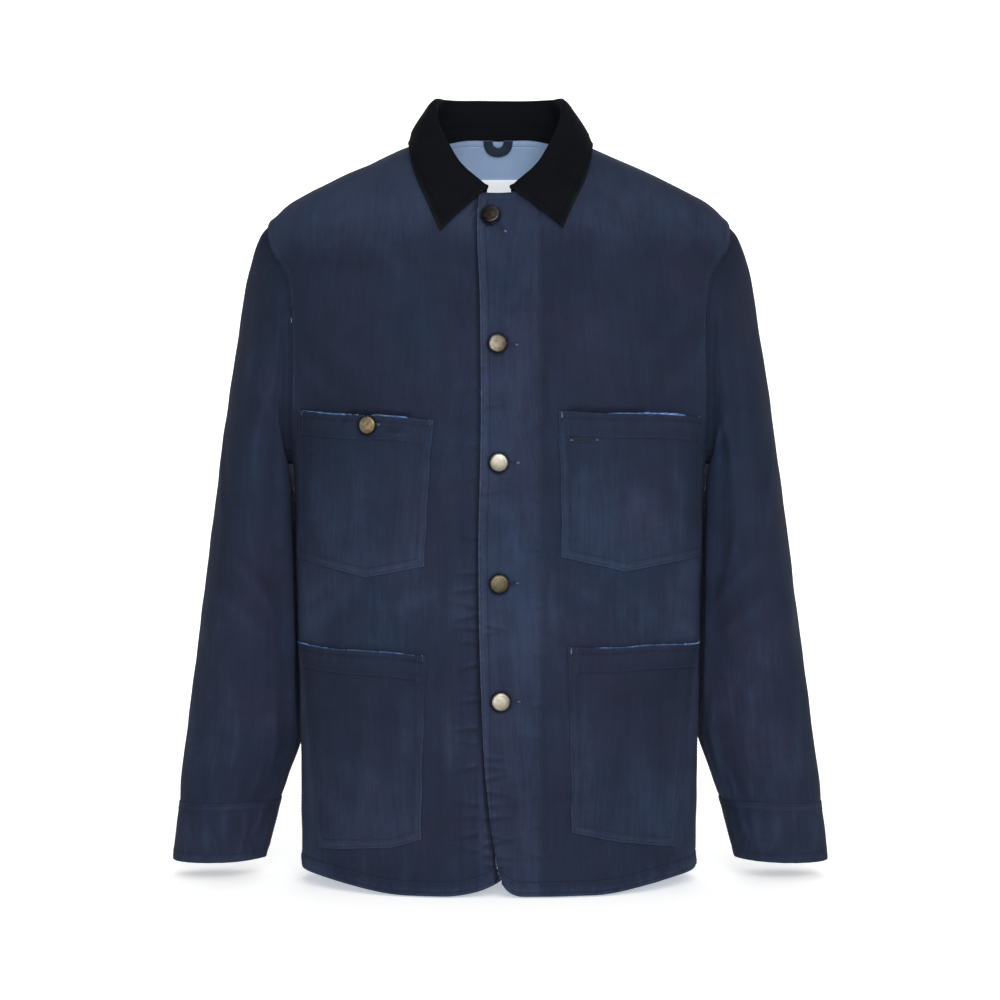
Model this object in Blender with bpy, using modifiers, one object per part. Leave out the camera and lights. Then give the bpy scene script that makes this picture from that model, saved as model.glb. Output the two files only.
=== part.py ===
"""Chore jacket, filled out as if worn and hollow inside: one object for each piece that is cut and sewn.

Metres, +Z up. +X is the wearer's left and the front faces -Y. The origin is the middle of the neck
opening, level with the tops of the shoulder seams. Every cloth piece is a wall between a grid of
outer points and the same points moved inwards; pieces that are sewn together share their seam
points and are then drawn apart by half the seam gap each.
"""
import math

import bmesh
import bpy
import numpy as np
from mathutils import Matrix, Vector

# Cloth walls
CLOTH = 0.0014
CUFF_CLOTH = 0.0020
STAND_CLOTH = 0.0020
LEAF_CLOTH = 0.0024
POCKET_CLOTH = 0.0012
LOOP_CLOTH = 0.0014
LABEL_CLOTH = 0.0010
SEAM_GAP = 0.0003

# Torso: level sections, superelliptic, that the fronts and the back follow
SECTION_POWER = 2.3
BODY_COLUMNS = "height half_width front_depth back_depth"
BODY_ROWS = (
    (-0.735, 0.1955, 0.132, 0.119),
    (-0.640, 0.1965, 0.134, 0.121),
    (-0.550, 0.1982, 0.133, 0.118),
    (-0.450, 0.2005, 0.131, 0.114),
    (-0.380, 0.2025, 0.131, 0.116),
    (-0.315, 0.2045, 0.132, 0.121),
    (-0.250, 0.2130, 0.133, 0.125),
    (-0.190, 0.2250, 0.133, 0.126),
    (-0.130, 0.2370, 0.130, 0.124),
    (-0.079, 0.2440, 0.126, 0.119),
    (0.040, 0.2500, 0.120, 0.112),
)
# Top of the shoulders, across from the middle: its height, and how far below it the front and the
# back reach their full depth
RIDGE_COLUMNS = "across ridge front_drop back_drop"
RIDGE_ROWS = (
    (0.000, 0.0040, 0.320, 0.130),
    (0.040, 0.0062, 0.270, 0.134),
    (0.060, 0.0074, 0.235, 0.140),
    (0.074, 0.0072, 0.205, 0.146),
    (0.095, 0.0000, 0.182, 0.152),
    (0.118, -0.0100, 0.168, 0.155),
    (0.162, -0.0300, 0.155, 0.155),
    (0.191, -0.0445, 0.150, 0.153),
    (0.209, -0.0555, 0.150, 0.152),
    (0.226, -0.0715, 0.150, 0.150),
    (0.2385, -0.0860, 0.150, 0.150),
    (0.260, -0.1150, 0.150, 0.150),
)
# The back rises towards the nape: by how much in the middle, how far across it ends, and the powers
# that keep its top level in the middle and smooth where it ends
NAPE_RISE = 0.0352
NAPE_END = 0.074
NAPE_LEVEL_POWER = 3.0
NAPE_END_POWER = 1.3
# How the rows and columns of the body panels run: the depth that a shoulder takes when it is rolled
# upright, and the shares of the height between which columns lean and rows bend
ROLLED_DEPTH = 0.110
LEAN_FROM = 0.78
LEVEL_FROM = 0.30
LEVEL_UP_TO = 0.50
BEND_POWER = 1.5
# Neck hole in plan
NECK_HALF_WIDTH = 0.074
NECK_FRONT_REACH = 0.072
NECK_BACK_REACH = 0.062
NECK_POWER = 2.4
COLLAR_END = 0.012

# Armholes, seen from the front: from the shoulder seam down to the underarm
SHOULDER_POINT = 0.230
UNDERARM = -0.315
ARMHOLE_COLUMNS = "height front_across back_across"
ARMHOLE_ROWS = (
    (-0.0900, 0.2290, 0.2285),
    (-0.1050, 0.2240, 0.2255),
    (-0.1180, 0.2150, 0.2220),
    (-0.1330, 0.2070, 0.2180),
    (-0.1520, 0.2030, 0.2140),
    (-0.2000, 0.2015, 0.2090),
    (-0.2600, 0.2035, 0.2065),
)

# Centre front: how far each front reaches past the middle, and the rounded corner at its hem
LEFT_EDGE_COLUMNS = "height past_middle"
LEFT_EDGE_ROWS = (
    (-0.700, 0.0010),
    (-0.661, 0.0073),
    (-0.616, 0.0125),
    (-0.537, 0.0168),
    (-0.407, 0.0195),
    (-0.275, 0.0172),
    (-0.160, 0.0182),
    (-0.068, 0.0205),
    (-0.050, 0.0190),
)
RIGHT_EDGE_PAST = 0.018
NECKLINE_LEVEL = -0.056
CORNER_COLUMNS = "run rise"
CORNERS = {"left": (0.024, 0.026), "right": (0.070, 0.042)}
CORNER_POINTS = 4
PAST_CORNER = 1.15
LAP_DIP = 0.0022
LAP_DIP_FULL = 0.026
LAP_DIP_NONE = 0.052

# Hem heights
HEM_SIDE = -0.7130
HEM_FRONT = -0.7260
HEM_BACK = -0.7240
HEM_RISES_FROM = 0.45

# Sleeves: slanting rings from an outer point to an inner point, seen from the front
SLEEVE_COLUMNS = "along outer_x outer_z inner_x inner_z centre_y half_depth"
SLEEVE_ROWS = (
    (0.000, 0.2300, -0.0765, 0.2045, -0.3150, 0.002, 0.070),
    (0.009, 0.2370, -0.0850, 0.2125, -0.3140, 0.002, 0.071),
    (0.018, 0.2405, -0.0920, 0.2150, -0.3190, 0.002, 0.073),
    (0.045, 0.2490, -0.1160, 0.2120, -0.3300, 0.010, 0.078),
    (0.100, 0.2600, -0.1700, 0.2030, -0.3420, 0.024, 0.087),
    (0.180, 0.2725, -0.2480, 0.1970, -0.3600, 0.032, 0.093),
    (0.290, 0.2870, -0.3560, 0.1930, -0.4000, 0.032, 0.091),
    (0.385, 0.2985, -0.4500, 0.1910, -0.4650, 0.032, 0.082),
    (0.485, 0.3110, -0.5500, 0.1910, -0.5530, 0.030, 0.067),
    (0.523, 0.3160, -0.5880, 0.1980, -0.5880, 0.031, 0.061),
    (0.561, 0.3205, -0.6250, 0.2110, -0.6230, 0.029, 0.057),
    (0.588, 0.3225, -0.6520, 0.2195, -0.6490, 0.027, 0.054),
)
SLEEVE_SPREAD = {"left": 0.0025, "right": 0.0000}
ARMHOLE_FADE = 0.160
BODY_CLEARANCE = 0.0035
CLEAR_BELOW = -0.20
CLEAR_SOFTLY = 0.002
CLEAR_FADE = 0.035
ROW_CROWDING = 0.28
CUFF_COLUMNS = "along outer_x outer_z inner_x inner_z centre_y half_depth"
CUFF_ROWS = (
    (0.000, 0.3225, -0.6520, 0.2195, -0.6490, 0.027, 0.054),
    (0.030, 0.3265, -0.6820, 0.2265, -0.6790, 0.026, 0.052),
    (0.060, 0.3290, -0.7110, 0.2330, -0.7085, 0.026, 0.050),
)
SLIT_TOP_SHARE = 0.36
SLIT_AT = 176.0
SLIT_HALF_GAP = 0.6
SLIT_FRONT_OPEN = 50.0
SLIT_BACK_OPEN = 16.0

# Collar, half of it, by share of the neck seam from centre back to its front end
COLLAR_COLUMNS = "share fold_x fold_y fold_z edge_x edge_y"
COLLAR_ROWS = (
    (0.000, 0.0000, 0.0700, 0.0575, 0.0000, 0.1000),
    (0.170, 0.0350, 0.0670, 0.0572, 0.0420, 0.0950),
    (0.300, 0.0560, 0.0500, 0.0555, 0.0670, 0.0700),
    (0.420, 0.0630, 0.0220, 0.0520, 0.0850, 0.0330),
    (0.550, 0.0640, -0.0050, 0.0360, 0.0900, -0.0120),
    (0.660, 0.0600, -0.0260, 0.0180, 0.0895, -0.0400),
    (0.750, 0.0530, -0.0420, 0.0020, 0.0870, -0.0640),
    (0.840, 0.0405, -0.0570, -0.0200, 0.0800, -0.0820),
    (0.925, 0.0235, -0.0665, -0.0370, 0.0700, -0.0940),
    (1.000, 0.0112, -0.0720, -0.0465, 0.0590, -0.1030),
)
LEAF_SPREAD = {"left": 0.0025, "right": -0.0025}
STAND_SHARE = 0.36
FOLD_RADIUS = 0.0022
FOLD_RADIUS_SHARE = 0.3
FOLD_TURN_COLUMNS = "rise outward up"
FOLD_TURN_ROWS = (
    (-1.2, -0.4, 0.0),
    (0.0, -0.1, 0.3),
    (0.0, 1.1, -0.3),
)
FALL_STARTS = 1.6
FALL_SHARES = (0.22, 0.48, 0.74, 1.00)
LEAF_BULGE = 0.004
LEAF_OVER_BODY = 0.0034
STEEPEST_REACH = 0.995

# Pockets on each front, seen from the front as (across, height), across measured to its own side
POCKET_LIFT = 0.0009
POCKET_BELLY = 0.0012
POCKETS = {
    "pocket_chest_left": {
        "side": "left",
        "top_inner": (0.0555, -0.2660),
        "top_outer": (0.1972, -0.2680),
        "bottom_outer": (0.1972, -0.4042),
        "bottom_point": (0.1215, -0.4189),
        "bottom_inner": (0.0592, -0.4036),
    },
    "pocket_chest_right": {
        "side": "right",
        "top_inner": (0.0617, -0.2735),
        "top_outer": (0.1940, -0.2630),
        "bottom_outer": (0.1975, -0.4053),
        "bottom_point": (0.1274, -0.4247),
        "bottom_inner": (0.0704, -0.4123),
    },
    "pocket_hip_left": {
        "side": "left",
        "top_inner": (0.0643, -0.4900),
        "top_outer": (0.1950, -0.4892),
        "bottom_outer": (0.1690, -0.6845),
        "bottom_point": (0.1177, -0.6773),
        "bottom_inner": (0.0685, -0.6648),
    },
    "pocket_hip_right": {
        "side": "right",
        "top_inner": (0.0685, -0.4974),
        "top_outer": (0.1950, -0.4900),
        "bottom_outer": (0.1735, -0.6870),
        "bottom_point": (0.1032, -0.6817),
        "bottom_inner": (0.0733, -0.6713),
    },
}

# Tack buttons: the turned cap's profile from its middle out to its rim and back under it, as
# (share of the radius, height), then its shank. Places are seen from the front.
BUTTON_RADIUS = 0.0086
POCKET_BUTTON_RADIUS = 0.0082
BUTTON_PROFILE = (
    (0.00, 0.0027), (0.34, 0.0025), (0.60, 0.0019), (0.70, 0.0021), (0.82, 0.0027),
    (0.93, 0.0025), (1.00, 0.0015), (0.96, 0.0006), (0.80, 0.0000),
)
SHANK_RADIUS = 0.0030
BUTTON_SIDES = 16
BUTTON_LIFT = 0.0005
WELD = 0.00001
BUTTON_METALS = ("brass", "brass", "nickel", "brass", "nickel")
BUTTON_COLUMNS = "across height shank turned"
FRONT_BUTTONS = (
    (-0.0066, -0.0772, 0.0034, -20.0),
    (-0.0016, -0.2016, 0.0015, 0.0),
    (0.0000, -0.3145, 0.0015, 0.0),
    (0.0005, -0.4295, 0.0015, 0.0),
    (0.0020, -0.5411, 0.0015, 0.0),
)
POCKET_BUTTON = (-0.1245, -0.2785, 0.0015, 0.0)

# Hanger loop, a half round strip sewn into the neck seam, and neck label, both inside the back
LOOP_MIDDLE = -0.0010
LOOP_HALF_WIDTH = 0.0155
LOOP_BOTTOM = 0.0018
LOOP_HOLE_HALF_WIDTH = 0.0058
LOOP_HOLE_BOTTOM = 0.0108
LOOP_SHOULDER = 0.0172
LOOP_TOP = 0.0500
LOOP_ARC_CELLS = 12
LABEL_MIDDLE = 0.0015
LABEL_HALF_WIDTH = 0.0200
LABEL_TOP = -0.0170
LABEL_BOTTOM = -0.0600
INSIDE_LIFT = 0.0004
CUTTER_REACH = 0.300

# Broad folds in the body and the sleeves, each along a line, by its ends, half width and height
FOLD_COLUMNS = "x0 y0 z0 x1 y1 z1 half_width rise"
FOLD_ROWS = (
    (-0.175, -0.080, -0.230, -0.085, -0.125, -0.170, 0.022, 0.0030),
    (0.175, -0.080, -0.225, 0.090, -0.125, -0.160, 0.022, 0.0030),
    (-0.060, -0.130, -0.470, -0.180, -0.060, -0.430, 0.020, -0.0025),
    (0.060, -0.130, -0.450, 0.180, -0.060, -0.440, 0.020, -0.0025),
    (-0.120, 0.105, -0.150, -0.060, 0.120, -0.420, 0.035, 0.0035),
    (0.125, 0.100, -0.170, 0.050, 0.118, -0.430, 0.035, 0.0035),
    (-0.170, 0.070, -0.520, -0.090, 0.110, -0.470, 0.024, -0.0030),
    (0.165, 0.075, -0.500, 0.080, 0.112, -0.480, 0.024, -0.0030),
    (-0.300, -0.020, -0.470, -0.225, -0.040, -0.520, 0.018, 0.0030),
    (0.305, -0.020, -0.450, 0.225, -0.045, -0.510, 0.018, 0.0030),
    (-0.235, -0.020, -0.615, -0.300, -0.010, -0.575, 0.016, -0.0030),
    (0.235, -0.020, -0.600, 0.300, -0.010, -0.585, 0.016, -0.0030),
    (-0.300, 0.060, -0.360, -0.235, 0.105, -0.420, 0.020, -0.0035),
    (0.300, 0.060, -0.370, 0.235, 0.105, -0.440, 0.020, -0.0035),
)

FOLD_END_SHARE = 0.45

# Seams: which shell each sewn piece is part of, the edges that are sewn to a neighbour (bottom, top,
# inner, outer), and how slanted two shells may meet before a wall thins there
SHELL = {"front_left": 0, "front_right": 0, "back": 0, "sleeve_left_top": 1, "sleeve_left_under": 1,
         "sleeve_right_top": 2, "sleeve_right_under": 2, "cuff_left": 3, "cuff_right": 4,
         "collar_stand": 5, "collar_leaf": 5}
SEAM_EDGES = {"front_left": "to", "front_right": "ti", "back": "tio",
              "sleeve_left_top": "btio", "sleeve_left_under": "btio",
              "sleeve_right_top": "btio", "sleeve_right_under": "btio",
              "cuff_left": "t", "cuff_right": "t", "collar_stand": "bt", "collar_leaf": "b"}
THICKNESS = {"collar_stand": STAND_CLOTH, "collar_leaf": LEAF_CLOTH,
             "cuff_left": CUFF_CLOTH, "cuff_right": CUFF_CLOTH}
MITRE_LIMIT = 0.6
PLACES_PER_METRE = 2e5
RIM_ORDER = (0.3, 0.1, 1.0)
SHARP_ANGLE = 50.0

# Grids: how many cells each piece has
LAP_CELLS = 2
NECKLINE_CELLS = 6
SHOULDER_CELLS = 8
BACK_NECK_HALF_CELLS = 6
BODY_CELLS = 14
ARMHOLE_CELLS = 12
SLEEVE_CELLS = 20
UNDER_SLEEVE_CELLS = (11, 17)
CUFF_CELLS_ROUND = 22
CUFF_CELLS_DOWN = 4
FINE_CELLS = 240
ROUNDS = 12
NEWTON_ROUNDS = 30
NEWTON_EASE = 0.02

COLOURS = {
    "navy": (0.022, 0.030, 0.062),
    "needlecord": (0.006, 0.007, 0.009),
    "dark_tape": (0.012, 0.018, 0.032),
    "white_tape": (0.82, 0.82, 0.80),
    "brass": (0.42, 0.33, 0.20),
    "nickel": (0.52, 0.48, 0.42),
}
CLOTH_ROUGHNESS = 0.9
METAL_ROUGHNESS = 0.35


def columns(names, rows):
    """A short table as one array for each named column."""
    return dict(zip(names.split(), np.array(rows, dtype=float).T))


def curve_through(known, values, at):
    """Smooth curve through (known, values): cubic between rows, straight past the ends."""
    slope = np.gradient(values, known)
    inside = np.clip(at, known[0], known[-1])
    row = np.clip(np.searchsorted(known, inside, side="right") - 1, 0, len(known) - 2)
    step = known[row + 1] - known[row]
    share = (inside - known[row]) / step
    start = (1 + 2 * share) * (1 - share) ** 2 * values[row]
    start = start + share * (1 - share) ** 2 * step * slope[row]
    finish = share ** 2 * (3 - 2 * share) * values[row + 1]
    finish = finish + share ** 2 * (share - 1) * step * slope[row + 1]
    past = at - inside
    return start + finish + past * np.where(past < 0, slope[0], slope[-1])


def read(table, name, at):
    """A column's value at any place along the table's first column."""
    return curve_through(next(iter(table.values())), table[name], np.asarray(at, dtype=float))


def smoothstep(share):
    """0 to 1 with soft ends."""
    share = np.clip(share, 0.0, 1.0)
    return share * share * (3.0 - 2.0 * share)


BODY = columns(BODY_COLUMNS, BODY_ROWS)
RIDGE = columns(RIDGE_COLUMNS, RIDGE_ROWS)
ARMHOLE = columns(ARMHOLE_COLUMNS, ARMHOLE_ROWS[::-1])
LEFT_EDGE = columns(LEFT_EDGE_COLUMNS, LEFT_EDGE_ROWS)
SLEEVE = columns(SLEEVE_COLUMNS, SLEEVE_ROWS)
CUFF = columns(CUFF_COLUMNS, CUFF_ROWS)
COLLAR = columns(COLLAR_COLUMNS, COLLAR_ROWS)
FOLDS = columns(FOLD_COLUMNS, FOLD_ROWS)


# ---------------------------------------------------------------- torso surface

def face_values(across, face):
    """Shoulder height and drop at a distance across, for the front (+1) or the back (-1)."""
    across = np.abs(across)
    nape = (1 - np.clip(across / NAPE_END, 0, 1) ** NAPE_LEVEL_POWER) ** NAPE_END_POWER
    ridge = read(RIDGE, "ridge", across) + np.where(face > 0, 0.0, NAPE_RISE * nape)
    drop = np.where(face > 0, read(RIDGE, "front_drop", across), read(RIDGE, "back_drop", across))
    return ridge, drop


def depth_at(height, face):
    """Depth of the section at a height, in front (+1) or behind (-1)."""
    return np.where(face > 0, read(BODY, "front_depth", height), read(BODY, "back_depth", height))


def section(share):
    """Superellipse: depth, as a share, at a share of the half width."""
    return np.clip(1 - np.abs(share) ** SECTION_POWER, 0, 1) ** (1 / SECTION_POWER)


def torso(turn, down, face):
    """Point on the torso. `turn` runs round it from 0 in the middle to a right angle at the side.

    `down` is an angle too: over the shoulder it turns from 0 on the ridge to a right angle, where
    the cloth hangs straight, and then goes on growing down to the hem.
    """
    height = np.full(np.shape(turn), -0.2)
    for _ in range(ROUNDS):
        across = read(BODY, "half_width", height) * np.sin(turn)
        ridge, drop = face_values(across, face)
        over = np.where(down < math.pi / 2, 1 - np.cos(down), 1 + down - math.pi / 2)
        height = ridge - drop * over
    depth = depth_at(height, face) * section(np.sin(turn)) * np.sin(np.minimum(down, math.pi / 2))
    return np.stack([across, -face * depth, height], axis=-1)


def seen_from_front(across, height, face):
    """`turn` and `down` of the torso point at a place seen from the front."""
    ridge, drop = face_values(across, face)
    over = np.clip((ridge - height) / drop, 0, None)
    down = np.where(over < 1, np.arccos(np.clip(1 - over, -1, 1)), math.pi / 2 + over - 1)
    turn = np.arcsin(np.clip(across / read(BODY, "half_width", height), -1, 1))
    return np.stack([turn, down], axis=-1)


def seen_from_above(across, reach, face):
    """`turn` and `down` of the torso point at a place seen from above, over the shoulders."""
    ridge, drop = face_values(across, face)
    height = ridge
    for _ in range(ROUNDS):
        width = read(BODY, "half_width", height)
        full = depth_at(height, face) * section(across / width)
        down = np.arcsin(np.clip(reach / full, 0, 1))
        height = ridge - drop * (1 - np.cos(down))
    return np.stack([np.arcsin(across / width), down], axis=-1)


def neck_hole(angle, reach):
    """Neck hole in plan: a superellipse from the side (angle 0) to the middle (a right angle)."""
    across = NECK_HALF_WIDTH * np.cos(angle) ** (2 / NECK_POWER)
    return across, reach * np.sin(angle) ** (2 / NECK_POWER)


def evenly(turn_down, face, cells):
    """The same line over the torso with its points evenly spaced along it."""
    points = torso(turn_down[:, 0], turn_down[:, 1], face)
    run = np.concatenate([[0], np.cumsum(np.linalg.norm(np.diff(points, axis=0), axis=1))])
    even = np.linspace(0, run[-1], cells + 1)
    return np.stack([np.interp(even, run, turn_down[:, k]) for k in (0, 1)], axis=-1)


def rolled_reach(turn):
    """How far the shoulder reaches forwards or back, when it is rolled up to lie in one plane."""
    return ROLLED_DEPTH * section(np.sin(turn))


def rolled_up(line, face):
    """Line of (turn, down) as (turn, rolled height): the height, with the shoulder rolled upright."""
    turn, down = line[..., 0], line[..., 1]
    height = torso(turn, down, face)[..., 2]
    rolled = height + rolled_reach(turn) * (1 - np.sin(np.minimum(down, math.pi / 2)))
    return np.stack([turn, rolled], axis=-1)


def rolled_back(grid, face):
    """(turn, down) again from (turn, rolled height), by Newton's steps."""
    turn, rolled = grid[..., 0], grid[..., 1]
    reach = rolled_reach(turn)
    down = np.full(turn.shape, 1.0)
    height = rolled
    for _ in range(NEWTON_ROUNDS):
        ridge, drop = face_values(read(BODY, "half_width", height) * np.sin(turn), face)
        over = np.where(down < math.pi / 2, 1 - np.cos(down), 1 + down - math.pi / 2)
        height = ridge - drop * over
        bent = np.minimum(down, math.pi / 2)
        miss = height + reach * (1 - np.sin(bent)) - rolled
        slope = drop * np.sin(bent) + reach * np.cos(bent) + NEWTON_EASE
        down = np.clip(down + miss / slope, 0, None)
    return np.stack([turn, down], axis=-1)


def share_along(line, column):
    """How far each point of a line has come, from 0 at its start to 1 at its end."""
    return (line[:, column] - line[0, column]) / (line[-1, column] - line[0, column])


def between(near, far, share):
    """Value between a near and a far line, at a share of the way across."""
    return near * (1 - share) + far * share


def panel(bottom, top, inner, outer, face):
    """Panel of the torso between four lines of (turn, down), rows upwards, columns outwards.

    Its rows lie level, but bend down to the hem and up to the shoulder. Its columns stand over
    their places at the bottom and lean over to their places at the top only near it, so that they
    meet the neckline across its run.
    """
    low, high, near, far = (rolled_up(line, face) for line in (bottom, top, inner, outer))
    rise = ((share_along(near, 1) + share_along(far, 1)) / 2)[:, None]
    lean = np.clip((rise - LEAN_FROM) / (1 - LEAN_FROM), 0, 1) ** 2
    low_share = share_along(low, 0)
    high_share = share_along(high, 0)
    share = low_share + (high_share - low_share) * lean
    turn = between(near[:, :1], far[:, :1], share)
    level = between(near[:, 1:], far[:, 1:], share)
    high_miss = high[:, 1] - between(near[-1, 1], far[-1, 1], high_share)
    low_miss = low[:, 1] - between(near[0, 1], far[0, 1], low_share)
    bend_up = np.clip((rise - LEVEL_UP_TO) / (1 - LEVEL_UP_TO), 0, 1) ** BEND_POWER
    bend_down = np.clip(1 - rise / LEVEL_FROM, 0, 1) ** BEND_POWER
    rolled = level + high_miss * bend_up + low_miss * bend_down
    grid = rolled_back(np.stack([turn, rolled], axis=-1), face)
    grid[0], grid[-1], grid[:, 0], grid[:, -1] = bottom, top, inner, outer
    return torso(grid[..., 0], grid[..., 1], face)


def side_line(face):
    """Side seam from hem to underarm, then the armhole up to the shoulder point."""
    seam_heights = np.linspace(HEM_SIDE, UNDERARM, BODY_CELLS + 1)
    seam = seen_from_front(read(BODY, "half_width", seam_heights), seam_heights, face)
    seam[:, 0] = math.pi / 2
    name = "front_across" if face > 0 else "back_across"
    top = face_values(np.array(SHOULDER_POINT), face)[0]
    heights = np.concatenate([[UNDERARM], ARMHOLE["height"], [top]])
    across = np.concatenate([[read(BODY, "half_width", UNDERARM)], ARMHOLE[name], [SHOULDER_POINT]])
    fine = np.linspace(0, len(heights) - 1, FINE_CELLS + 1)
    rows = np.arange(len(heights), dtype=float)
    fine_heights = np.maximum.accumulate(curve_through(rows, heights, fine))
    armhole = seen_from_front(curve_through(rows, across, fine), fine_heights, face)
    armhole[0, 0] = math.pi / 2
    return np.concatenate([seam, evenly(armhole, face, ARMHOLE_CELLS)[1:]])


def shoulder_line(face):
    """Shoulder seam from the neck to the shoulder point, along the ridge."""
    across = np.linspace(NECK_HALF_WIDTH, SHOULDER_POINT, SHOULDER_CELLS + 1)
    line = seen_from_front(across, face_values(across, face)[0], face)
    line[:, 1] = 0.0
    return line


# ---------------------------------------------------------------- body panels

def neckline_line(face, cells, ends_at):
    """Neckline from a distance across, out to the shoulder seam, evenly spaced."""
    reach = NECK_FRONT_REACH if face > 0 else NECK_BACK_REACH
    across, forward = neck_hole(np.linspace(math.pi / 2, 0, FINE_CELLS + 1), reach)
    keep = across > ends_at
    across = np.concatenate([[ends_at], across[keep]])
    forward = np.concatenate([[np.interp(ends_at, across[1:], forward[keep])], forward[keep]])
    line = evenly(seen_from_above(across, forward, face), face, cells)
    line[-1, 1] = 0.0
    return line


def front_grid(side):
    """A front, its inner edge first, measured to its own side; `side` says which one laps on top."""
    past_top = read(LEFT_EDGE, "past_middle", NECKLINE_LEVEL) if side == "left" else RIGHT_EDGE_PAST
    lap = np.linspace(-past_top, COLLAR_END, LAP_CELLS + 1)[:-1]
    collar_end = neckline_line(1, NECKLINE_CELLS, COLLAR_END)
    level = torso(collar_end[:1, 0], collar_end[:1, 1], 1)[0, 2]
    lap_line = seen_from_front(lap, np.full(LAP_CELLS, level), 1)
    top = np.concatenate([lap_line, collar_end, shoulder_line(1)[1:]])

    corner = dict(zip(CORNER_COLUMNS.split(), CORNERS[side]))
    foot = HEM_FRONT + corner["rise"]
    heights = np.concatenate([
        np.linspace(foot, UNDERARM, BODY_CELLS + 1),
        np.linspace(UNDERARM, level, ARMHOLE_CELLS + 1)[1:],
    ])
    past = read(LEFT_EDGE, "past_middle", heights) if side == "left" else RIGHT_EDGE_PAST
    past = np.broadcast_to(past, heights.shape).copy()
    past[-1] = past_top
    inner = seen_from_front(-past, heights, 1)

    cells = len(top) - 1
    half_width = read(BODY, "half_width", HEM_FRONT)
    across = -past[0] + np.linspace(0, corner["run"] * PAST_CORNER, CORNER_POINTS)
    turn = np.linspace(math.asin(across[-1] / half_width), math.pi / 2, cells + 2 - CORNER_POINTS)
    across = np.concatenate([across[:-1], half_width * np.sin(turn)])
    rounding = 1 - np.sqrt(1 - np.clip(1 - (across + past[0]) / corner["run"], 0, 1) ** 2)
    to_side = smoothstep((across / half_width - HEM_RISES_FROM) / (1 - HEM_RISES_FROM))
    level_hem = HEM_FRONT + (HEM_SIDE - HEM_FRONT) * to_side
    hem = seen_from_front(across, level_hem + corner["rise"] * rounding, 1)
    outer = side_line(1)
    hem[-1] = outer[0]
    hem[0] = inner[0]
    points = panel(hem, top, inner, outer, 1)
    if side == "right":
        dip = LAP_DIP * smoothstep((LAP_DIP_NONE - points[..., 0]) / (LAP_DIP_NONE - LAP_DIP_FULL))
        points = points - grid_normals(points) * dip[..., None]
        points[..., 0] *= -1
    return points


def back_grid():
    """The back, from the wearer's right side seam across to the left one."""
    neck = neckline_line(-1, BACK_NECK_HALF_CELLS, 0.0)
    half_top = np.concatenate([neck, shoulder_line(-1)[1:]])
    outer = side_line(-1)
    middle_top = torso(neck[:1, 0], neck[:1, 1], -1)[0, 2]
    heights = np.concatenate([
        np.linspace(HEM_BACK, UNDERARM, BODY_CELLS + 1),
        np.linspace(UNDERARM, middle_top, ARMHOLE_CELLS + 1)[1:],
    ])
    middle = seen_from_front(np.zeros_like(heights), heights, -1)
    middle[-1] = half_top[0]
    turn = np.linspace(0, math.pi / 2, len(half_top))
    half_width = read(BODY, "half_width", HEM_BACK)
    level = HEM_BACK + (HEM_SIDE - HEM_BACK) * smoothstep(np.sin(turn))
    hem = seen_from_front(half_width * np.sin(turn), level, -1)
    hem[-1] = outer[0]
    hem[0] = middle[0]
    points = panel(hem, half_top, middle, outer, -1)
    mirrored = points[:, ::-1] * np.array([-1, 1, 1])
    return np.concatenate([mirrored[:, :-1], points], axis=1)


# ---------------------------------------------------------------- sleeves and cuffs

def ring_points(table, along, angle):
    """Points of slanting rings: outer at 0 degrees, front at 90, inner at 180, back at 270."""
    outer = np.stack([read(table, "outer_x", along), read(table, "outer_z", along)], axis=-1)
    inner = np.stack([read(table, "inner_x", along), read(table, "inner_z", along)], axis=-1)
    swing = np.cos(np.radians(angle))[..., None]
    flat = (outer + inner) / 2 + (outer - inner) / 2 * swing
    y = read(table, "centre_y", along) - read(table, "half_depth", along) * np.sin(np.radians(angle))
    return np.stack([flat[..., 0], y, flat[..., 1]], axis=-1)


def clear_of_body(points, clearance):
    """Push points outwards so that they lie at least `clearance` outside the body's section."""
    face = np.where(points[..., 1] < 0, 1, -1)
    depth = depth_at(points[..., 2], face)
    share = np.clip(np.abs(points[..., 1]) / depth, 0, 1)
    body = read(BODY, "half_width", points[..., 2]) * section(share) + clearance
    off = points[..., 0] - body
    soft = body + (off + np.sqrt(off ** 2 + CLEAR_SOFTLY ** 2)) / 2
    out = points.copy()
    out[..., 0] = np.where(points[..., 2] < CLEAR_BELOW, soft, points[..., 0])
    return out


def sleeve_grid(side, armhole):
    """A whole sleeve: rows from the armhole to the cuff, columns round it from the outer side."""
    reach = SLEEVE["along"][-1]
    share = np.linspace(0, 1, SLEEVE_CELLS + 1)
    along = reach * ((1 - ROW_CROWDING) * share + ROW_CROWDING * share ** 2)
    angle = np.linspace(0, 360, 2 * ARMHOLE_CELLS + 1)
    along, angle = np.meshgrid(along, angle, indexing="ij")
    plain = ring_points(SLEEVE, along, angle)
    fade = 1 - smoothstep(along / ARMHOLE_FADE)
    points = plain + (armhole - plain[0])[None] * fade[..., None]
    pushed = clear_of_body(points, BODY_CLEARANCE)
    points = points + (pushed - points) * smoothstep(along / CLEAR_FADE)[..., None]
    points[..., 0] += SLEEVE_SPREAD[side] * (along / reach) ** 2
    if side == "right":
        points[..., 0] *= -1
    return points


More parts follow.
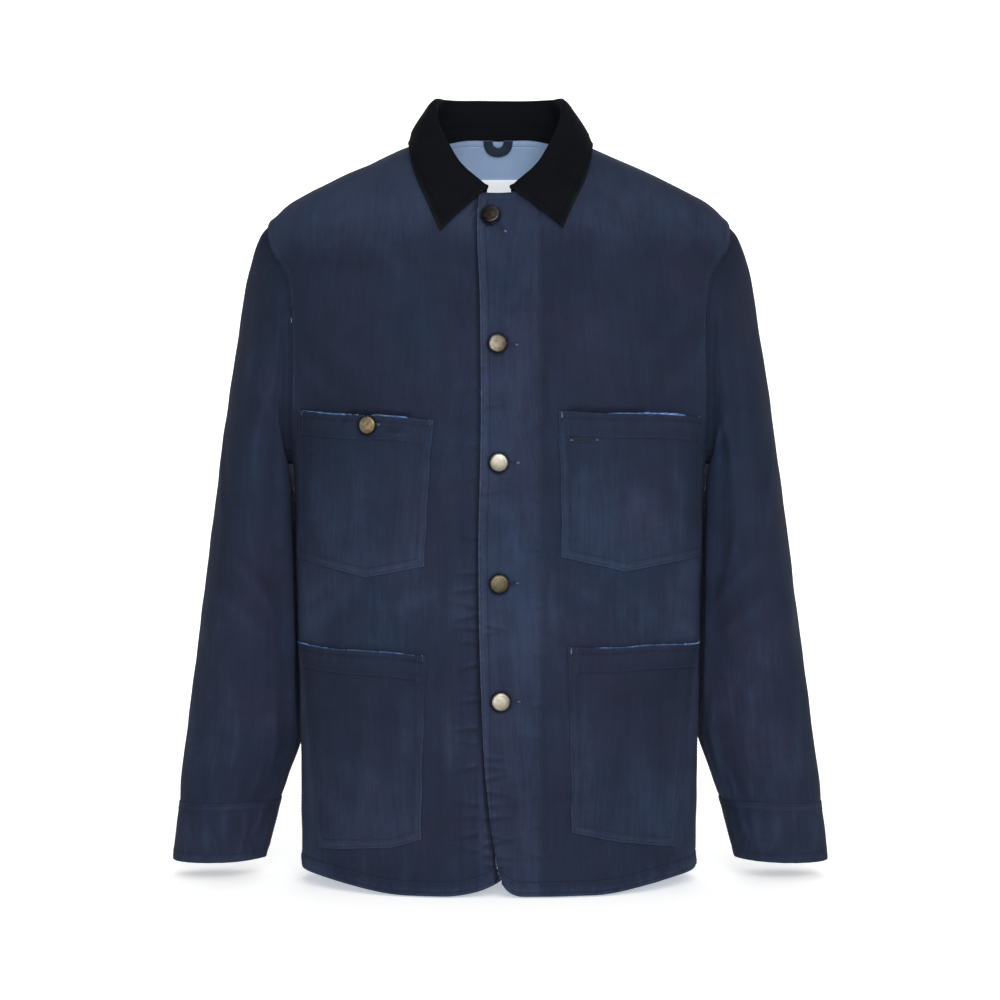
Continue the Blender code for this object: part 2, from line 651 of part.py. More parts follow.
def cuff_grid(side):
    """Open cuff: rows down from the seam, columns round it from the slit's back edge to its front."""
    down = np.linspace(0, 1, CUFF_CELLS_DOWN + 1)
    opened = np.clip((down - SLIT_TOP_SHARE) / (1 - SLIT_TOP_SHARE), 0, 1)
    start = SLIT_AT + SLIT_HALF_GAP + SLIT_BACK_OPEN * opened
    finish = SLIT_AT + 360 - SLIT_HALF_GAP - SLIT_FRONT_OPEN * opened
    share = np.linspace(0, 1, CUFF_CELLS_ROUND + 1)[None]
    angle = start[:, None] + (finish - start)[:, None] * share
    along = np.broadcast_to((CUFF["along"][-1] * down)[:, None], angle.shape)
    points = ring_points(CUFF, along, 360 - angle)
    points[..., 0] += SLEEVE_SPREAD[side]
    if side == "right":
        points[..., 0] *= -1
    return points


# ---------------------------------------------------------------- collar

def over_shoulder(points, lift):
    """Raise points that would sink into the shoulders to `lift` above them."""
    face = np.where(points[..., 1] < 0, 1, -1)
    across = points[..., 0]
    ridge, drop = face_values(across, face)
    height = ridge
    for _ in range(ROUNDS):
        full = depth_at(height, face) * section(across / read(BODY, "half_width", height))
        share = np.clip(np.abs(points[..., 1]) / full, 0, STEEPEST_REACH)
        height = ridge - drop * (1 - np.sqrt(1 - share ** 2))
    steep = 1 / np.sqrt(1 - share ** 2)
    reach = np.where(face > 0, NECK_FRONT_REACH, NECK_BACK_REACH)
    hole = np.abs(across / NECK_HALF_WIDTH) ** NECK_POWER + np.abs(points[..., 1] / reach) ** NECK_POWER
    raised = np.maximum(points[..., 2], height + lift * (1 + steep) / 2)
    out = points.copy()
    out[..., 2] = np.where(hole < 1.0, points[..., 2], raised)
    return out


def collar_grids(neck):
    """Stand and leaf: rows up from the neck seam, columns from the wearer's left end to the right."""
    run = np.concatenate([[0], np.cumsum(np.linalg.norm(np.diff(neck, axis=0), axis=1))])
    share = 2 * run / run[-1] - 1
    side = np.where(share < 0, 1.0, -1.0)
    names = ("fold_x", "fold_y", "fold_z", "edge_x", "edge_y")
    fold_x, fold_y, fold_z, edge_x, edge_y = (read(COLLAR, name, np.abs(share)) for name in names)
    spread = np.where(share < 0, LEAF_SPREAD["left"], LEAF_SPREAD["right"]) * np.abs(share)
    fold = np.stack([side * fold_x, fold_y, fold_z], axis=-1)
    edge = np.stack([side * (edge_x + spread), edge_y, np.full_like(edge_x, -1.0)], axis=-1)
    edge = over_shoulder(edge, LEAF_OVER_BODY)
    seam = neck + (fold - neck) * STAND_SHARE
    stand = np.stack([neck, seam])

    rise = fold - seam
    rise /= np.linalg.norm(rise, axis=1, keepdims=True)
    outward = fold * np.array([1, 1, 0])
    outward /= np.linalg.norm(outward, axis=1, keepdims=True)
    room = FOLD_RADIUS_SHARE * np.linalg.norm(fold - seam, axis=1, keepdims=True)
    radius = np.minimum(FOLD_RADIUS, room)
    up = np.array([0, 0, 1.0])
    rows = [seam, (seam + fold) / 2]
    for row in FOLD_TURN_ROWS:
        step = dict(zip(FOLD_TURN_COLUMNS.split(), row))
        rows.append(fold + (rise * step["rise"] + outward * step["outward"] + up * step["up"]) * radius)
    start = fold + outward * radius * FALL_STARTS
    for part in FALL_SHARES:
        bulge = LEAF_BULGE * math.sin(math.pi * part)
        point = start + (edge - start) * part + outward * bulge
        rows.append(over_shoulder(point, LEAF_OVER_BODY))
    return stand, np.stack(rows)


# ---------------------------------------------------------------- pieces laid on others

def prism(name, outline):
    """Closed prism along Y over an outline seen from the front, from the middle plane out."""
    shape = bmesh.new()
    corners = [shape.verts.new((across, 0.0, height)) for across, height in outline]
    face = shape.faces.new(corners)
    pulled = bmesh.ops.extrude_face_region(shape, geom=[face])
    moved = [part for part in pulled["geom"] if isinstance(part, bmesh.types.BMVert)]
    bmesh.ops.translate(shape, verts=moved, vec=(0.0, CUTTER_REACH, 0.0))
    bmesh.ops.recalc_face_normals(shape, faces=shape.faces)
    mesh = bpy.data.meshes.new(name)
    shape.to_mesh(mesh)
    shape.free()
    return mesh


def pocket_outline(pocket):
    """Corners of a pocket, seen from the front, with across turned to its own side."""
    mirror = 1 if pocket["side"] == "left" else -1
    names = ("top_inner", "top_outer", "bottom_outer", "bottom_point", "bottom_inner")
    return [(mirror * pocket[name][0], pocket[name][1]) for name in names]


def pocket_belly(grid, pocket):
    """How far a pocket's cloth stands off its front: most in its middle, nothing at its edges."""
    corners = np.array(pocket_outline(pocket))
    middle = (corners.max(axis=0) + corners.min(axis=0)) / 2
    half = (corners.max(axis=0) - corners.min(axis=0)) / 2
    away = (grid[..., [0, 2]] - middle) / half
    return POCKET_BELLY * np.prod(np.clip(1 - away ** 2, 0, 1), axis=-1)


def loop_outline():
    """Half round strip, seen from the front: outer arc, then back along the arc of its hole."""
    angle = np.linspace(0, math.pi, LOOP_ARC_CELLS + 1)
    outer = np.stack([np.cos(angle) * LOOP_HALF_WIDTH,
                      LOOP_SHOULDER - np.sin(angle) * (LOOP_SHOULDER - LOOP_BOTTOM)], axis=-1)
    hole = np.stack([np.cos(angle[::-1]) * LOOP_HOLE_HALF_WIDTH,
                     LOOP_SHOULDER - np.sin(angle) * (LOOP_SHOULDER - LOOP_HOLE_BOTTOM)], axis=-1)
    tops = np.array([[LOOP_HALF_WIDTH], [-LOOP_HALF_WIDTH], [-LOOP_HOLE_HALF_WIDTH], [LOOP_HOLE_HALF_WIDTH]])
    tops = np.insert(tops, 1, LOOP_TOP, axis=1)
    line = np.concatenate([tops[:1], outer, tops[1:3], hole, tops[3:]])
    return (line + np.array([LOOP_MIDDLE, 0.0])).tolist()


def label_outline():
    """Corners of the neck label, seen from the front."""
    sides = (LABEL_MIDDLE - LABEL_HALF_WIDTH, LABEL_MIDDLE + LABEL_HALF_WIDTH)
    return [(sides[0], LABEL_BOTTOM), (sides[1], LABEL_BOTTOM), (sides[1], LABEL_TOP), (sides[0], LABEL_TOP)]


def button_profile_mesh(name, radius, shank):
    """Half outline of a button, from the middle of its cap to the foot of its shank."""
    line = [(share * radius, height + shank) for share, height in BUTTON_PROFILE]
    line += [(SHANK_RADIUS, shank), (SHANK_RADIUS, 0.0), (0.0, 0.0)]
    mesh = bpy.data.meshes.new(name)
    edges = [(i, i + 1) for i in range(len(line) - 1)]
    mesh.from_pydata([(x, 0.0, z) for x, z in line], edges, [])
    return mesh


def place_on(grid, across, height):
    """Point and normal of a front's surface at a place seen from the front."""
    a, b, c, d = grid[:-1, :-1], grid[:-1, 1:], grid[1:, 1:], grid[1:, :-1]
    corners = [np.concatenate([p.reshape(-1, 3), q.reshape(-1, 3)]) for p, q in ((a, a), (b, c), (c, d))]
    start, first, second = corners[0], corners[1] - corners[0], corners[2] - corners[0]
    to = np.array([across, height]) - start[:, [0, 2]]
    size = first[:, 0] * second[:, 2] - first[:, 2] * second[:, 0]
    u = (to[:, 0] * second[:, 2] - to[:, 1] * second[:, 0]) / size
    v = (first[:, 0] * to[:, 1] - first[:, 2] * to[:, 0]) / size
    inside = np.flatnonzero((u >= 0) & (v >= 0) & (u + v <= 1))
    found = min(inside, key=lambda i: start[i, 1] + u[i] * first[i, 1] + v[i] * second[i, 1])
    point = start[found] + u[found] * first[found] + v[found] * second[found]
    normal = unit(np.cross(first[found], second[found]))
    return Vector(point), Vector(normal if normal[1] < 0 else -normal)


# ---------------------------------------------------------------- shared normals, folds and walls

def quad_normals(grid):
    """Area-weighted normal of each cell."""
    return np.cross(grid[1:, 1:] - grid[:-1, :-1], grid[1:, :-1] - grid[:-1, 1:])


def unit(vectors):
    """Vectors of length one."""
    return vectors / np.maximum(np.linalg.norm(vectors, axis=-1, keepdims=True), 1e-12)


def grid_normals(grid):
    """Unit normal at each point of one grid."""
    normal = unit(quad_normals(grid))
    total = np.zeros_like(grid)
    for rows, cols in ((slice(0, -1), slice(0, -1)), (slice(0, -1), slice(1, None)),
                       (slice(1, None), slice(0, -1)), (slice(1, None), slice(1, None))):
        total[rows, cols] += normal
    return unit(total)


def mean_over(keys, vectors):
    """For each vector, the unit mean of all the vectors that have its key."""
    _, index = np.unique(keys, axis=0, return_inverse=True)
    index = index.ravel()
    total = np.zeros((index.max() + 1, 3))
    np.add.at(total, index, vectors)
    return unit(total)[index]


def mitred(grids):
    """For every piece, the way out of its cloth at each point, a unit thick.

    Where pieces are sewn together they share one direction. It is worked out within each shell
    (body, a sleeve, a cuff or the collar), then half way between the shells that meet, and it is as
    much longer as the slant asks, so that a wall keeps its thickness up to the seam.
    """
    own = np.concatenate([grid_normals(grid).reshape(-1, 3) for grid in grids.values()])
    points = np.concatenate([grid.reshape(-1, 3) for grid in grids.values()])
    shell = np.concatenate([np.full(grid.shape[0] * grid.shape[1], SHELL[name])
                            for name, grid in grids.items()])
    place = np.round(points * PLACES_PER_METRE).astype(np.int64)
    in_shell = mean_over(np.column_stack([place, shell]), own)
    ends = np.unique(np.column_stack([place, shell]), axis=0, return_index=True)[1]
    single = np.zeros(len(points), dtype=bool)
    single[ends] = True
    shared = mean_over(place, np.where(single[:, None], in_shell, 0.0))
    slant = np.clip(np.sum(shared * in_shell, axis=1, keepdims=True), MITRE_LIMIT, 1.0)
    way_out = shared / slant
    out = {}
    begin = 0
    for name, grid in grids.items():
        count = grid.shape[0] * grid.shape[1]
        out[name] = way_out[begin:begin + count].reshape(grid.shape)
        begin += count
    return out


def fold_rise(points):
    """Height of the broad folds at each point: a soft ridge or trough along each fold's line."""
    rise = np.zeros(points.shape[:-1])
    for row in range(len(FOLDS["rise"])):
        start = np.array([FOLDS[name][row] for name in ("x0", "y0", "z0")])
        finish = np.array([FOLDS[name][row] for name in ("x1", "y1", "z1")])
        line = finish - start
        share = np.clip((points - start) @ line / (line @ line), 0, 1)
        away = np.linalg.norm(points - start - share[..., None] * line, axis=-1)
        taper = FOLD_END_SHARE + (1 - FOLD_END_SHARE) * np.sin(math.pi * share)
        rise = rise + FOLDS["rise"][row] * taper * np.exp(-(away / FOLDS["half_width"][row]) ** 2)
    return rise


def draw_in(grid, edges):
    """Move the seam edges in by half the seam gap. Edges: b(ottom), t(op), i(nner), o(uter)."""
    out = grid.copy()
    lines = {"b": (0, 1), "t": (-1, -2)}
    for name, (edge, beside) in lines.items():
        if name in edges:
            out[edge] += unit(grid[beside] - grid[edge]) * SEAM_GAP / 2
    lines = {"i": (0, 1), "o": (-1, -2)}
    for name, (edge, beside) in lines.items():
        if name in edges:
            out[:, edge] += unit(grid[:, beside] - grid[:, edge]) * SEAM_GAP / 2
    return out


def wall_mesh(name, outer, inward):
    """Closed wall between a grid and the same grid moved by `inward`.

    Each piece of its rim is split from the end that lies higher, so that two pieces sewn together
    have rims of one shape.
    """
    rows, cols = outer.shape[:2]
    flat = outer.reshape(-1, 3)
    vertices = np.concatenate([flat, (outer + inward).reshape(-1, 3)])
    number = np.arange(rows * cols).reshape(rows, cols)
    quads = np.stack([number[:-1, :-1], number[:-1, 1:], number[1:, 1:], number[1:, :-1]], axis=-1)
    quads = quads.reshape(-1, 4)
    border = np.concatenate([number[0, :-1], number[:-1, -1], number[-1, :0:-1], number[:0:-1, 0]])
    after = np.roll(border, -1)
    under = rows * cols
    first_is_high = (flat[border] - flat[after]) @ np.array(RIM_ORDER) > 0
    apex = np.where(first_is_high, after + under, border + under)
    rim = np.concatenate([
        np.stack([border, border + under, apex], axis=-1)[first_is_high],
        np.stack([border, apex, after], axis=-1),
        np.stack([after, apex, after + under], axis=-1)[~first_is_high],
    ])
    faces = quads.tolist() + (quads[:, ::-1] + under).tolist() + rim.tolist()
    mesh = bpy.data.meshes.new(name)
    mesh.from_pydata(vertices.tolist(), [], faces)
    shape = bmesh.new()
    shape.from_mesh(mesh)
    bmesh.ops.recalc_face_normals(shape, faces=shape.faces)
    shape.to_mesh(mesh)
    shape.free()
    mesh.shade_smooth()
    mesh.set_sharp_from_angle(angle=math.radians(SHARP_ANGLE))
    return mesh


# ---------------------------------------------------------------- scene

def clear_scene():
    """Remove every object that a new file brings."""
    for old in list(bpy.data.objects):
        bpy.data.objects.remove(old, do_unlink=True)


def material(name, colour, roughness, metallic=0.0):
    """Principled material of one colour."""
    made = bpy.data.materials.new(name)
    made.use_nodes = True
    shader = made.node_tree.nodes["Principled BSDF"]
    shader.inputs["Base Color"].default_value = (*COLOURS[colour], 1.0)
    shader.inputs["Roughness"].default_value = roughness
    shader.inputs["Metallic"].default_value = metallic
    return made


def add(collection, name, mesh, colour, roughness=CLOTH_ROUGHNESS, metallic=0.0):
    """Object for one piece, with a material of its own."""
    piece = bpy.data.objects.new(name, mesh)
    collection.objects.link(piece)
    piece.data.materials.append(material(name, colour, roughness, metallic))
    return piece


def sewn_grids():
    """Outer grids of all the pieces that are sewn edge to edge."""
    left = front_grid("left")
    right = front_grid("right")
    back = back_grid()
    above = BODY_CELLS
    mirror = np.array([-1, 1, 1])
    grids = {"front_left": left, "front_right": right[:, ::-1], "back": back[:, ::-1]}
    for side, front in (("left", left), ("right", right * mirror)):
        back_edge = back[above:, -1] if side == "left" else back[above:, 0] * mirror
        armhole = np.concatenate([front[above:, -1][::-1], back_edge[1:]])
        sleeve = sleeve_grid(side, armhole)
        first, last = UNDER_SLEEVE_CELLS
        under = sleeve[:, first:last + 1]
        top = np.concatenate([sleeve[:, last:-1], sleeve[:, :first + 1]], axis=1)
        clockwise = -1 if side == "left" else 1
        grids["sleeve_" + side + "_top"] = top[::-1, ::clockwise]
        grids["sleeve_" + side + "_under"] = under[::-1, ::clockwise]
        grids["cuff_" + side] = cuff_grid(side)[::-1, ::-clockwise]
    neck_end = LAP_CELLS + NECKLINE_CELLS + 1
    neck_half = BACK_NECK_HALF_CELLS
    middle = back.shape[1] // 2
    back_neck = back[-1, middle - neck_half:middle + neck_half + 1][::-1]
    neck = np.concatenate([
        left[-1, LAP_CELLS:neck_end - 1],
        back_neck,
        right[-1, LAP_CELLS:neck_end - 1][::-1],
    ])
    grids["collar_stand"], grids["collar_leaf"] = collar_grids(neck)
    return grids


def cut_to(piece, outline, cutters):
    """Cut a piece to an outline seen from the front, on the front half or the back half."""
    cutter = bpy.data.objects.new(piece.name + "_outline", prism(piece.name + "_outline", outline))
    cutter.hide_render = True
    cutter.display_type = "WIRE"
    cutters.objects.link(cutter)
    cut = piece.modifiers.new("outline", "BOOLEAN")
    cut.operation = "INTERSECT"
    cut.object = cutter
    return cutter


def add_button(collection, name, surface, row, radius, colour):
    """Turned button standing on a surface, tipped about the upright by its row's angle."""
    place = dict(zip(BUTTON_COLUMNS.split(), row))
    point, normal = place_on(surface, place["across"], place["height"])
    mesh = button_profile_mesh(name, radius, place["shank"])
    piece = add(collection, name, mesh, colour, METAL_ROUGHNESS, 1.0)
    turn = piece.modifiers.new("turned", "SCREW")
    turn.steps = BUTTON_SIDES
    turn.render_steps = BUTTON_SIDES
    turn.use_merge_vertices = True
    turn.merge_threshold = WELD
    angle = math.radians(place["turned"])
    facing = normal.copy()
    facing.rotate(Matrix.Rotation(angle, 3, "Z"))
    piece.rotation_mode = "QUATERNION"
    piece.rotation_quaternion = facing.to_track_quat("Z", "Y")
    piece.location = point + normal * (BUTTON_LIFT + SHANK_RADIUS * abs(math.sin(angle)))


def build():
    """Make every piece of the jacket in its own collection."""
    clear_scene()
    jacket = bpy.data.collections.new("chore_jacket")
    cutters = bpy.data.collections.new("outlines")
    for collection in (jacket, cutters):
        bpy.context.scene.collection.children.link(collection)

    grids = sewn_grids()
    way_out = mitred(grids)
    for name, grid in grids.items():
        grids[name] = grid + way_out[name] * fold_rise(grid)[..., None]
        outer = draw_in(grids[name], SEAM_EDGES[name])
        inward = -way_out[name] * THICKNESS.get(name, CLOTH)
        colour = "needlecord" if name.startswith("collar") else "navy"
        add(jacket, name, wall_mesh(name, outer, inward), colour)

    pocket_faces = {}
    for name, pocket in POCKETS.items():
        panel = "front_" + pocket["side"]
        off = POCKET_LIFT + POCKET_CLOTH + pocket_belly(grids[panel], pocket)[..., None]
        outer = grids[panel] + way_out[panel] * off
        piece = add(jacket, name, wall_mesh(name, outer, -way_out[panel] * POCKET_CLOTH), "navy")
        cutter = cut_to(piece, pocket_outline(pocket), cutters)
        cutter.location.y = -CUTTER_REACH
        pocket_faces[name] = outer

    inside = draw_in(grids["back"], SEAM_EDGES["back"]) - way_out["back"] * (CLOTH + INSIDE_LIFT)
    tapes = (("hanger_loop", LOOP_CLOTH, loop_outline(), "dark_tape"),
             ("neck_label", LABEL_CLOTH, label_outline(), "white_tape"))
    for name, thickness, outline, colour in tapes:
        piece = add(jacket, name, wall_mesh(name, inside, -way_out["back"] * thickness), colour)
        cut_to(piece, outline, cutters)

    for number, (row, metal) in enumerate(zip(FRONT_BUTTONS, BUTTON_METALS), start=1):
        name = "button_" + str(number)
        add_button(jacket, name, grids["front_left"], row, BUTTON_RADIUS, metal)
    add_button(jacket, "button_pocket", pocket_faces["pocket_chest_right"], POCKET_BUTTON,
               POCKET_BUTTON_RADIUS, "brass")


build()
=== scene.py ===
"""Chore jacket: cloth, cord, thread and metal of each cut and sewn piece, laid on its own solid.

Metres, +Z up. +X is the wearer's left, the front faces -Y and the origin is the middle of the neck
opening. Each cloth piece is a fine grid on the form of the solid that it stands for, pushed in and
out by listed creases, puckers and seam ridges, and then given its thickness.
"""
import math

import bmesh
import bpy
import numpy as np
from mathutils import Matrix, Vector


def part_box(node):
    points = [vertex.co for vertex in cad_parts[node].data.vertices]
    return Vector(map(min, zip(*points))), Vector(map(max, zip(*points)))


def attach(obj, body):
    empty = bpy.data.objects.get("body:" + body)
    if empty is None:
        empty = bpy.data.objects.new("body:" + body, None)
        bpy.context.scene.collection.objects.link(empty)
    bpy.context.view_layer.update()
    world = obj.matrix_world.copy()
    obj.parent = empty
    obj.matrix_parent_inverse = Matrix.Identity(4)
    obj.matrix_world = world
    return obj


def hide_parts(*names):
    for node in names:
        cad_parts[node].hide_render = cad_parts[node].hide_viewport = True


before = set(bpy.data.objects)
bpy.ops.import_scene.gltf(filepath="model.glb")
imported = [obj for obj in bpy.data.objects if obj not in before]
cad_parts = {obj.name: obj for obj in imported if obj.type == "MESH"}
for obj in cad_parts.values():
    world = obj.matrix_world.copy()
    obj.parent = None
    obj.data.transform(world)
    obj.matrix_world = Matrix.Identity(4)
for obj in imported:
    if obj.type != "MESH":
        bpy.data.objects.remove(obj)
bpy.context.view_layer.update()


def table(names, text):
    """A short table as one array a column.

    Its rows end at commas. Lengths are in millimetres there, and become metres; a column whose name
    is starred holds plain numbers.
    """
    rows = np.array([[float(part) for part in row.split()] for row in text.split(",")]).T
    return {name.rstrip("*"): column if name.endswith("*") else column / 1000
            for name, column in zip(names.split(), rows)}


RIGHT_ANGLE = math.pi / 2
SIDES = {"left": 1, "right": -1}

# Cloth walls
CLOTH = 0.0014
CUFF_CLOTH = 0.0020
STAND_CLOTH = 0.0020
LEAF_CLOTH = 0.0024
POCKET_CLOTH = 0.0012
LOOP_CLOTH = 0.0014
LABEL_CLOTH = 0.0010

# Torso: level sections, superelliptic, that the fronts and the back follow
SECTION_POWER = 2.3
BODY = table("height half_width front_depth back_depth", """
    -735 195.5 132 119,
    -640 196.5 134 121,
    -550 198.2 133 118,
    -450 200.5 131 114,
    -380 202.5 131 116,
    -315 204.5 132 121,
    -250 213 133 125,
    -190 225 133 126,
    -130 237 130 124,
    -79 244 126 119,
    40 250 120 112""")
# Top of the shoulders, across from the middle: its height, and how far below it the front and the
# back reach their full depth
RIDGE = table("across ridge front_drop back_drop", """
    0 4 320 130,
    40 6.2 270 134,
    60 7.4 235 140,
    74 7.2 205 146,
    95 0 182 152,
    118 -10 168 155,
    162 -30 155 155,
    191 -44.5 150 153,
    209 -55.5 150 152,
    226 -71.5 150 150,
    238.5 -86 150 150,
    260 -115 150 150""")
# The back rises towards the nape: by how much in the middle, how far across it ends, and the powers
# that keep its top level in the middle and smooth where it ends
NAPE_RISE = 0.0352
NAPE_END = 0.074
NAPE_LEVEL_POWER = 3.0
NAPE_END_POWER = 1.3
# How the rows and columns of the body panels run: the depth that a shoulder takes when it is rolled
# upright, and the shares of the height between which columns lean and rows bend
ROLLED_DEPTH = 0.110
LEAN_FROM = 0.78
LEVEL_FROM = 0.30
LEVEL_UP_TO = 0.50
BEND_POWER = 1.5
# Neck hole in plan
NECK_HALF_WIDTH = 0.074
NECK_FRONT_REACH = 0.072
NECK_BACK_REACH = 0.062
NECK_POWER = 2.4
COLLAR_END = 0.012

# Armholes, seen from the front: from the underarm up to the shoulder seam
SHOULDER_POINT = 0.230
UNDERARM = -0.315
ARMHOLE = table("height front_across back_across", """
    -260 203.5 206.5,
    -200 201.5 209,
    -152 203 214,
    -133 207 218,
    -118 215 222,
    -105 224 225.5,
    -90 229 228.5""")

# Centre front: how far each front reaches past the middle, and the rounded corner at its hem, by
# its run and rise, with the pattern's points along it and how far past its run the last one lies
LEFT_EDGE = table("height past_middle", """
    -700 1,
    -661 7.3,
    -616 12.5,
    -537 16.8,
    -407 19.5,
    -275 17.2,
    -160 18.2,
    -68 20.5,
    -50 19""")
RIGHT_EDGE_PAST = 0.018
NECKLINE_LEVEL = -0.056
CORNERS = {"left": (0.024, 0.026), "right": (0.070, 0.042)}
CORNER_POINTS = 4
PAST_CORNER = 1.15
# How deep the under front dips below the top one, and where the dip is full and has ended
LAP_DIP = 0.0022
LAP_DIP_FULL = 0.026
LAP_DIP_NONE = 0.052

# Hem heights
HEM_SIDE = -0.7130
HEM_FRONT = -0.7260
HEM_BACK = -0.7240
HEM_RISES_FROM = 0.45

# Sleeves and cuffs: slanting rings from an outer point to an inner point, seen from the front
RING_COLUMNS = "along outer_x outer_z inner_x inner_z centre_y half_depth"
SLEEVE = table(RING_COLUMNS, """
    0 230 -76.5 204.5 -315 2 70,
    9 237 -85 212.5 -314 2 71,
    18 240.5 -92 215 -319 2 73,
    45 249 -116 212 -330 10 78,
    100 260 -170 203 -342 24 87,
    180 272.5 -248 197 -360 32 93,
    290 287 -356 193 -400 32 91,
    385 298.5 -450 191 -465 32 82,
    485 311 -550 191 -553 30 67,
    523 316 -588 198 -588 31 61,
    561 320.5 -625 211 -623 29 57,
    588 322.5 -652 219.5 -649 27 54""")
SLEEVE_SPREAD = {"left": 0.0025, "right": 0.0000}
ARMHOLE_FADE = 0.160
BODY_CLEARANCE = 0.0035
CLEAR_BELOW = -0.20
CLEAR_SOFTLY = 0.002
CLEAR_FADE = 0.035
ROW_CROWDING = 0.28
CUFF = table(RING_COLUMNS, """
    0 322.5 -652 219.5 -649 27 54,
    30 326.5 -682 226.5 -679 26 52,
    60 329 -711 233 -708.5 26 50""")
# A cuff's slit: where it starts down the cuff, its place round the ring, and how far it opens there
SLIT_TOP_SHARE = 0.36
SLIT_AT = 176.0
SLIT_HALF_GAP = 0.6
SLIT_FRONT_OPEN = 50.0
SLIT_BACK_OPEN = 16.0

# Collar, half of it, by share of the neck seam from centre back to its front end
COLLAR = table("share* fold_x fold_y fold_z edge_x edge_y", """
    0 0 70 57.5 0 100,
    0.17 35 67 57.2 42 95,
    0.3 56 50 55.5 67 70,
    0.42 63 22 52 85 33,
    0.55 64 -5 36 90 -12,
    0.66 60 -26 18 89.5 -40,
    0.75 53 -42 2 87 -64,
    0.84 40.5 -57 -20 80 -82,
    0.925 23.5 -66.5 -37 70 -94,
    1 11.2 -72 -46.5 59 -103""")
LEAF_SPREAD = {"left": 0.0025, "right": -0.0025}
STAND_SHARE = 0.36
FOLD_RADIUS = 0.0022
FOLD_RADIUS_SHARE = 0.3
# The fold's turn, in its radii along the rise of the stand, outwards and up
FOLD_TURN = ((-1.2, -0.4, 0.0), (0.0, -0.1, 0.3), (0.0, 1.1, -0.3))
FALL_STARTS = 1.6
FALL_SHARES = (0.22, 0.48, 0.74, 1.00)
LEAF_BULGE = 0.004
LEAF_OVER_BODY = 0.0034
LEAF_OVER_FROM = 0.45
STEEPEST_REACH = 0.995

# Pockets in millimetres, seen from the front and measured across to their own side: the inner and
# the outer end of the mouth, then the bottom's outer corner, its point and its inner corner
POCKETS = {
    "pocket_chest_left":
        ((55.5, -266.0), (197.2, -268.0), (197.2, -404.2), (121.5, -418.9), (59.2, -403.6)),
    "pocket_chest_right":
        ((61.7, -273.5), (194.0, -263.0), (197.5, -405.3), (127.4, -424.7), (70.4, -412.3)),
    "pocket_hip_left":
        ((64.3, -490.0), (195.0, -489.2), (169.0, -684.5), (117.7, -677.3), (68.5, -664.8)),
    "pocket_hip_right":
        ((68.5, -497.4), (195.0, -490.0), (173.5, -687.0), (103.2, -681.7), (73.3, -671.3)),
}
POCKET_LIFT = 0.0009
POCKET_BELLY = 0.0012
POCKET_HEM = 0.024

# Buttons: metal, radius, place across and height, length of shank, turn in degrees to face with the
# cloth, and the side of the cap's painted highlight, in degrees from the wearer's left upwards
BUTTONS = {
    "button_1": ("dark_bronze", 0.0086, -0.0066, -0.0772, 0.0034, -20.0, 150),
    "button_2": ("aged_brass", 0.0086, -0.0016, -0.2016, 0.0015, 0.0, 25),
    "button_3": ("dull_nickel", 0.0086, 0.0000, -0.3145, 0.0015, 0.0, 90),
    "button_4": ("old_bronze", 0.0086, 0.0005, -0.4295, 0.0015, 0.0, 60),
    "button_5": ("dull_nickel", 0.0086, 0.0020, -0.5411, 0.0015, 0.0, 30),
    "button_pocket": ("yellow_brass", 0.0082, -0.1245, -0.2785, 0.0015, 0.0, 55),
}
# A cap's profile from its middle, as shares of its radius and heights above its shank
BUTTON_LINE = (
    (0.00, 0.00270), (0.20, 0.00266), (0.38, 0.00255), (0.52, 0.00240), (0.60, 0.00232),
    (0.66, 0.00228), (0.74, 0.00226), (0.82, 0.00212), (0.89, 0.00188), (0.95, 0.00155),
    (1.00, 0.00110), (0.99, 0.00080), (0.94, 0.00045), (0.80, 0.00010), (0.40, 0.00010),
)
BUTTON_TURNS = 72
SHANK_RADIUS = 0.0030
POST_SINK = 0.0012
# Buttonholes and worn slots: across and height of the inner end, slope in degrees, and length
BUTTONHOLES = {
    "button_1": (-0.0075, -0.0795, -40.0, 0.0170),
    "button_2": (-0.0030, -0.2018, -2.0, 0.0190),
    "button_3": (-0.0020, -0.3150, 1.0, 0.0190),
    "button_4": (-0.0015, -0.4296, 2.0, 0.0180),
    "button_5": (0.0000, -0.5413, 1.0, 0.0180),
    "pocket_left": (0.0690, -0.2932, 1.0, 0.0215),
    "pocket_right": (-0.1290, -0.2785, 2.0, 0.0150),
}

# Hanger loop of tape: heights where it meets the neck seam, of its hole's and of its own lowest
# point, and half the widths of its hole and itself
LOOP_MIDDLE = -0.0010
LOOP_SEAM = 0.0200
LOOP_TAPE_LOW = (0.0133, 0.0051)
LOOP_TAPE_HALF = (0.0054, 0.0152)
# Neck label, inside the back like the loop
LABEL_MIDDLE = 0.0015
LABEL_HALF_WIDTH = 0.0200
LABEL_TOP = -0.0170
LABEL_BOTTOM = -0.0600
INSIDE_LIFT = 0.0004

# Broad folds in the body and the sleeves, each along a line, by its ends, half width and height
FOLDS = table("x0 y0 z0 x1 y1 z1 half_width rise", """
    -175 -80 -230 -85 -125 -170 22 3,
    175 -80 -225 90 -125 -160 22 3,
    -60 -130 -470 -180 -60 -430 20 -2.5,
    60 -130 -450 180 -60 -440 20 -2.5,
    -120 105 -150 -60 120 -420 35 3.5,
    125 100 -170 50 118 -430 35 3.5,
    -170 70 -520 -90 110 -470 24 -3,
    165 75 -500 80 112 -480 24 -3,
    -300 -20 -470 -225 -40 -520 18 3,
    305 -20 -450 225 -45 -510 18 3,
    -235 -20 -615 -300 -10 -575 16 -3,
    235 -20 -600 300 -10 -585 16 -3,
    -300 60 -360 -235 105 -420 20 -3.5,
    300 60 -370 235 105 -440 20 -3.5""")
FOLD_END_SHARE = 0.45

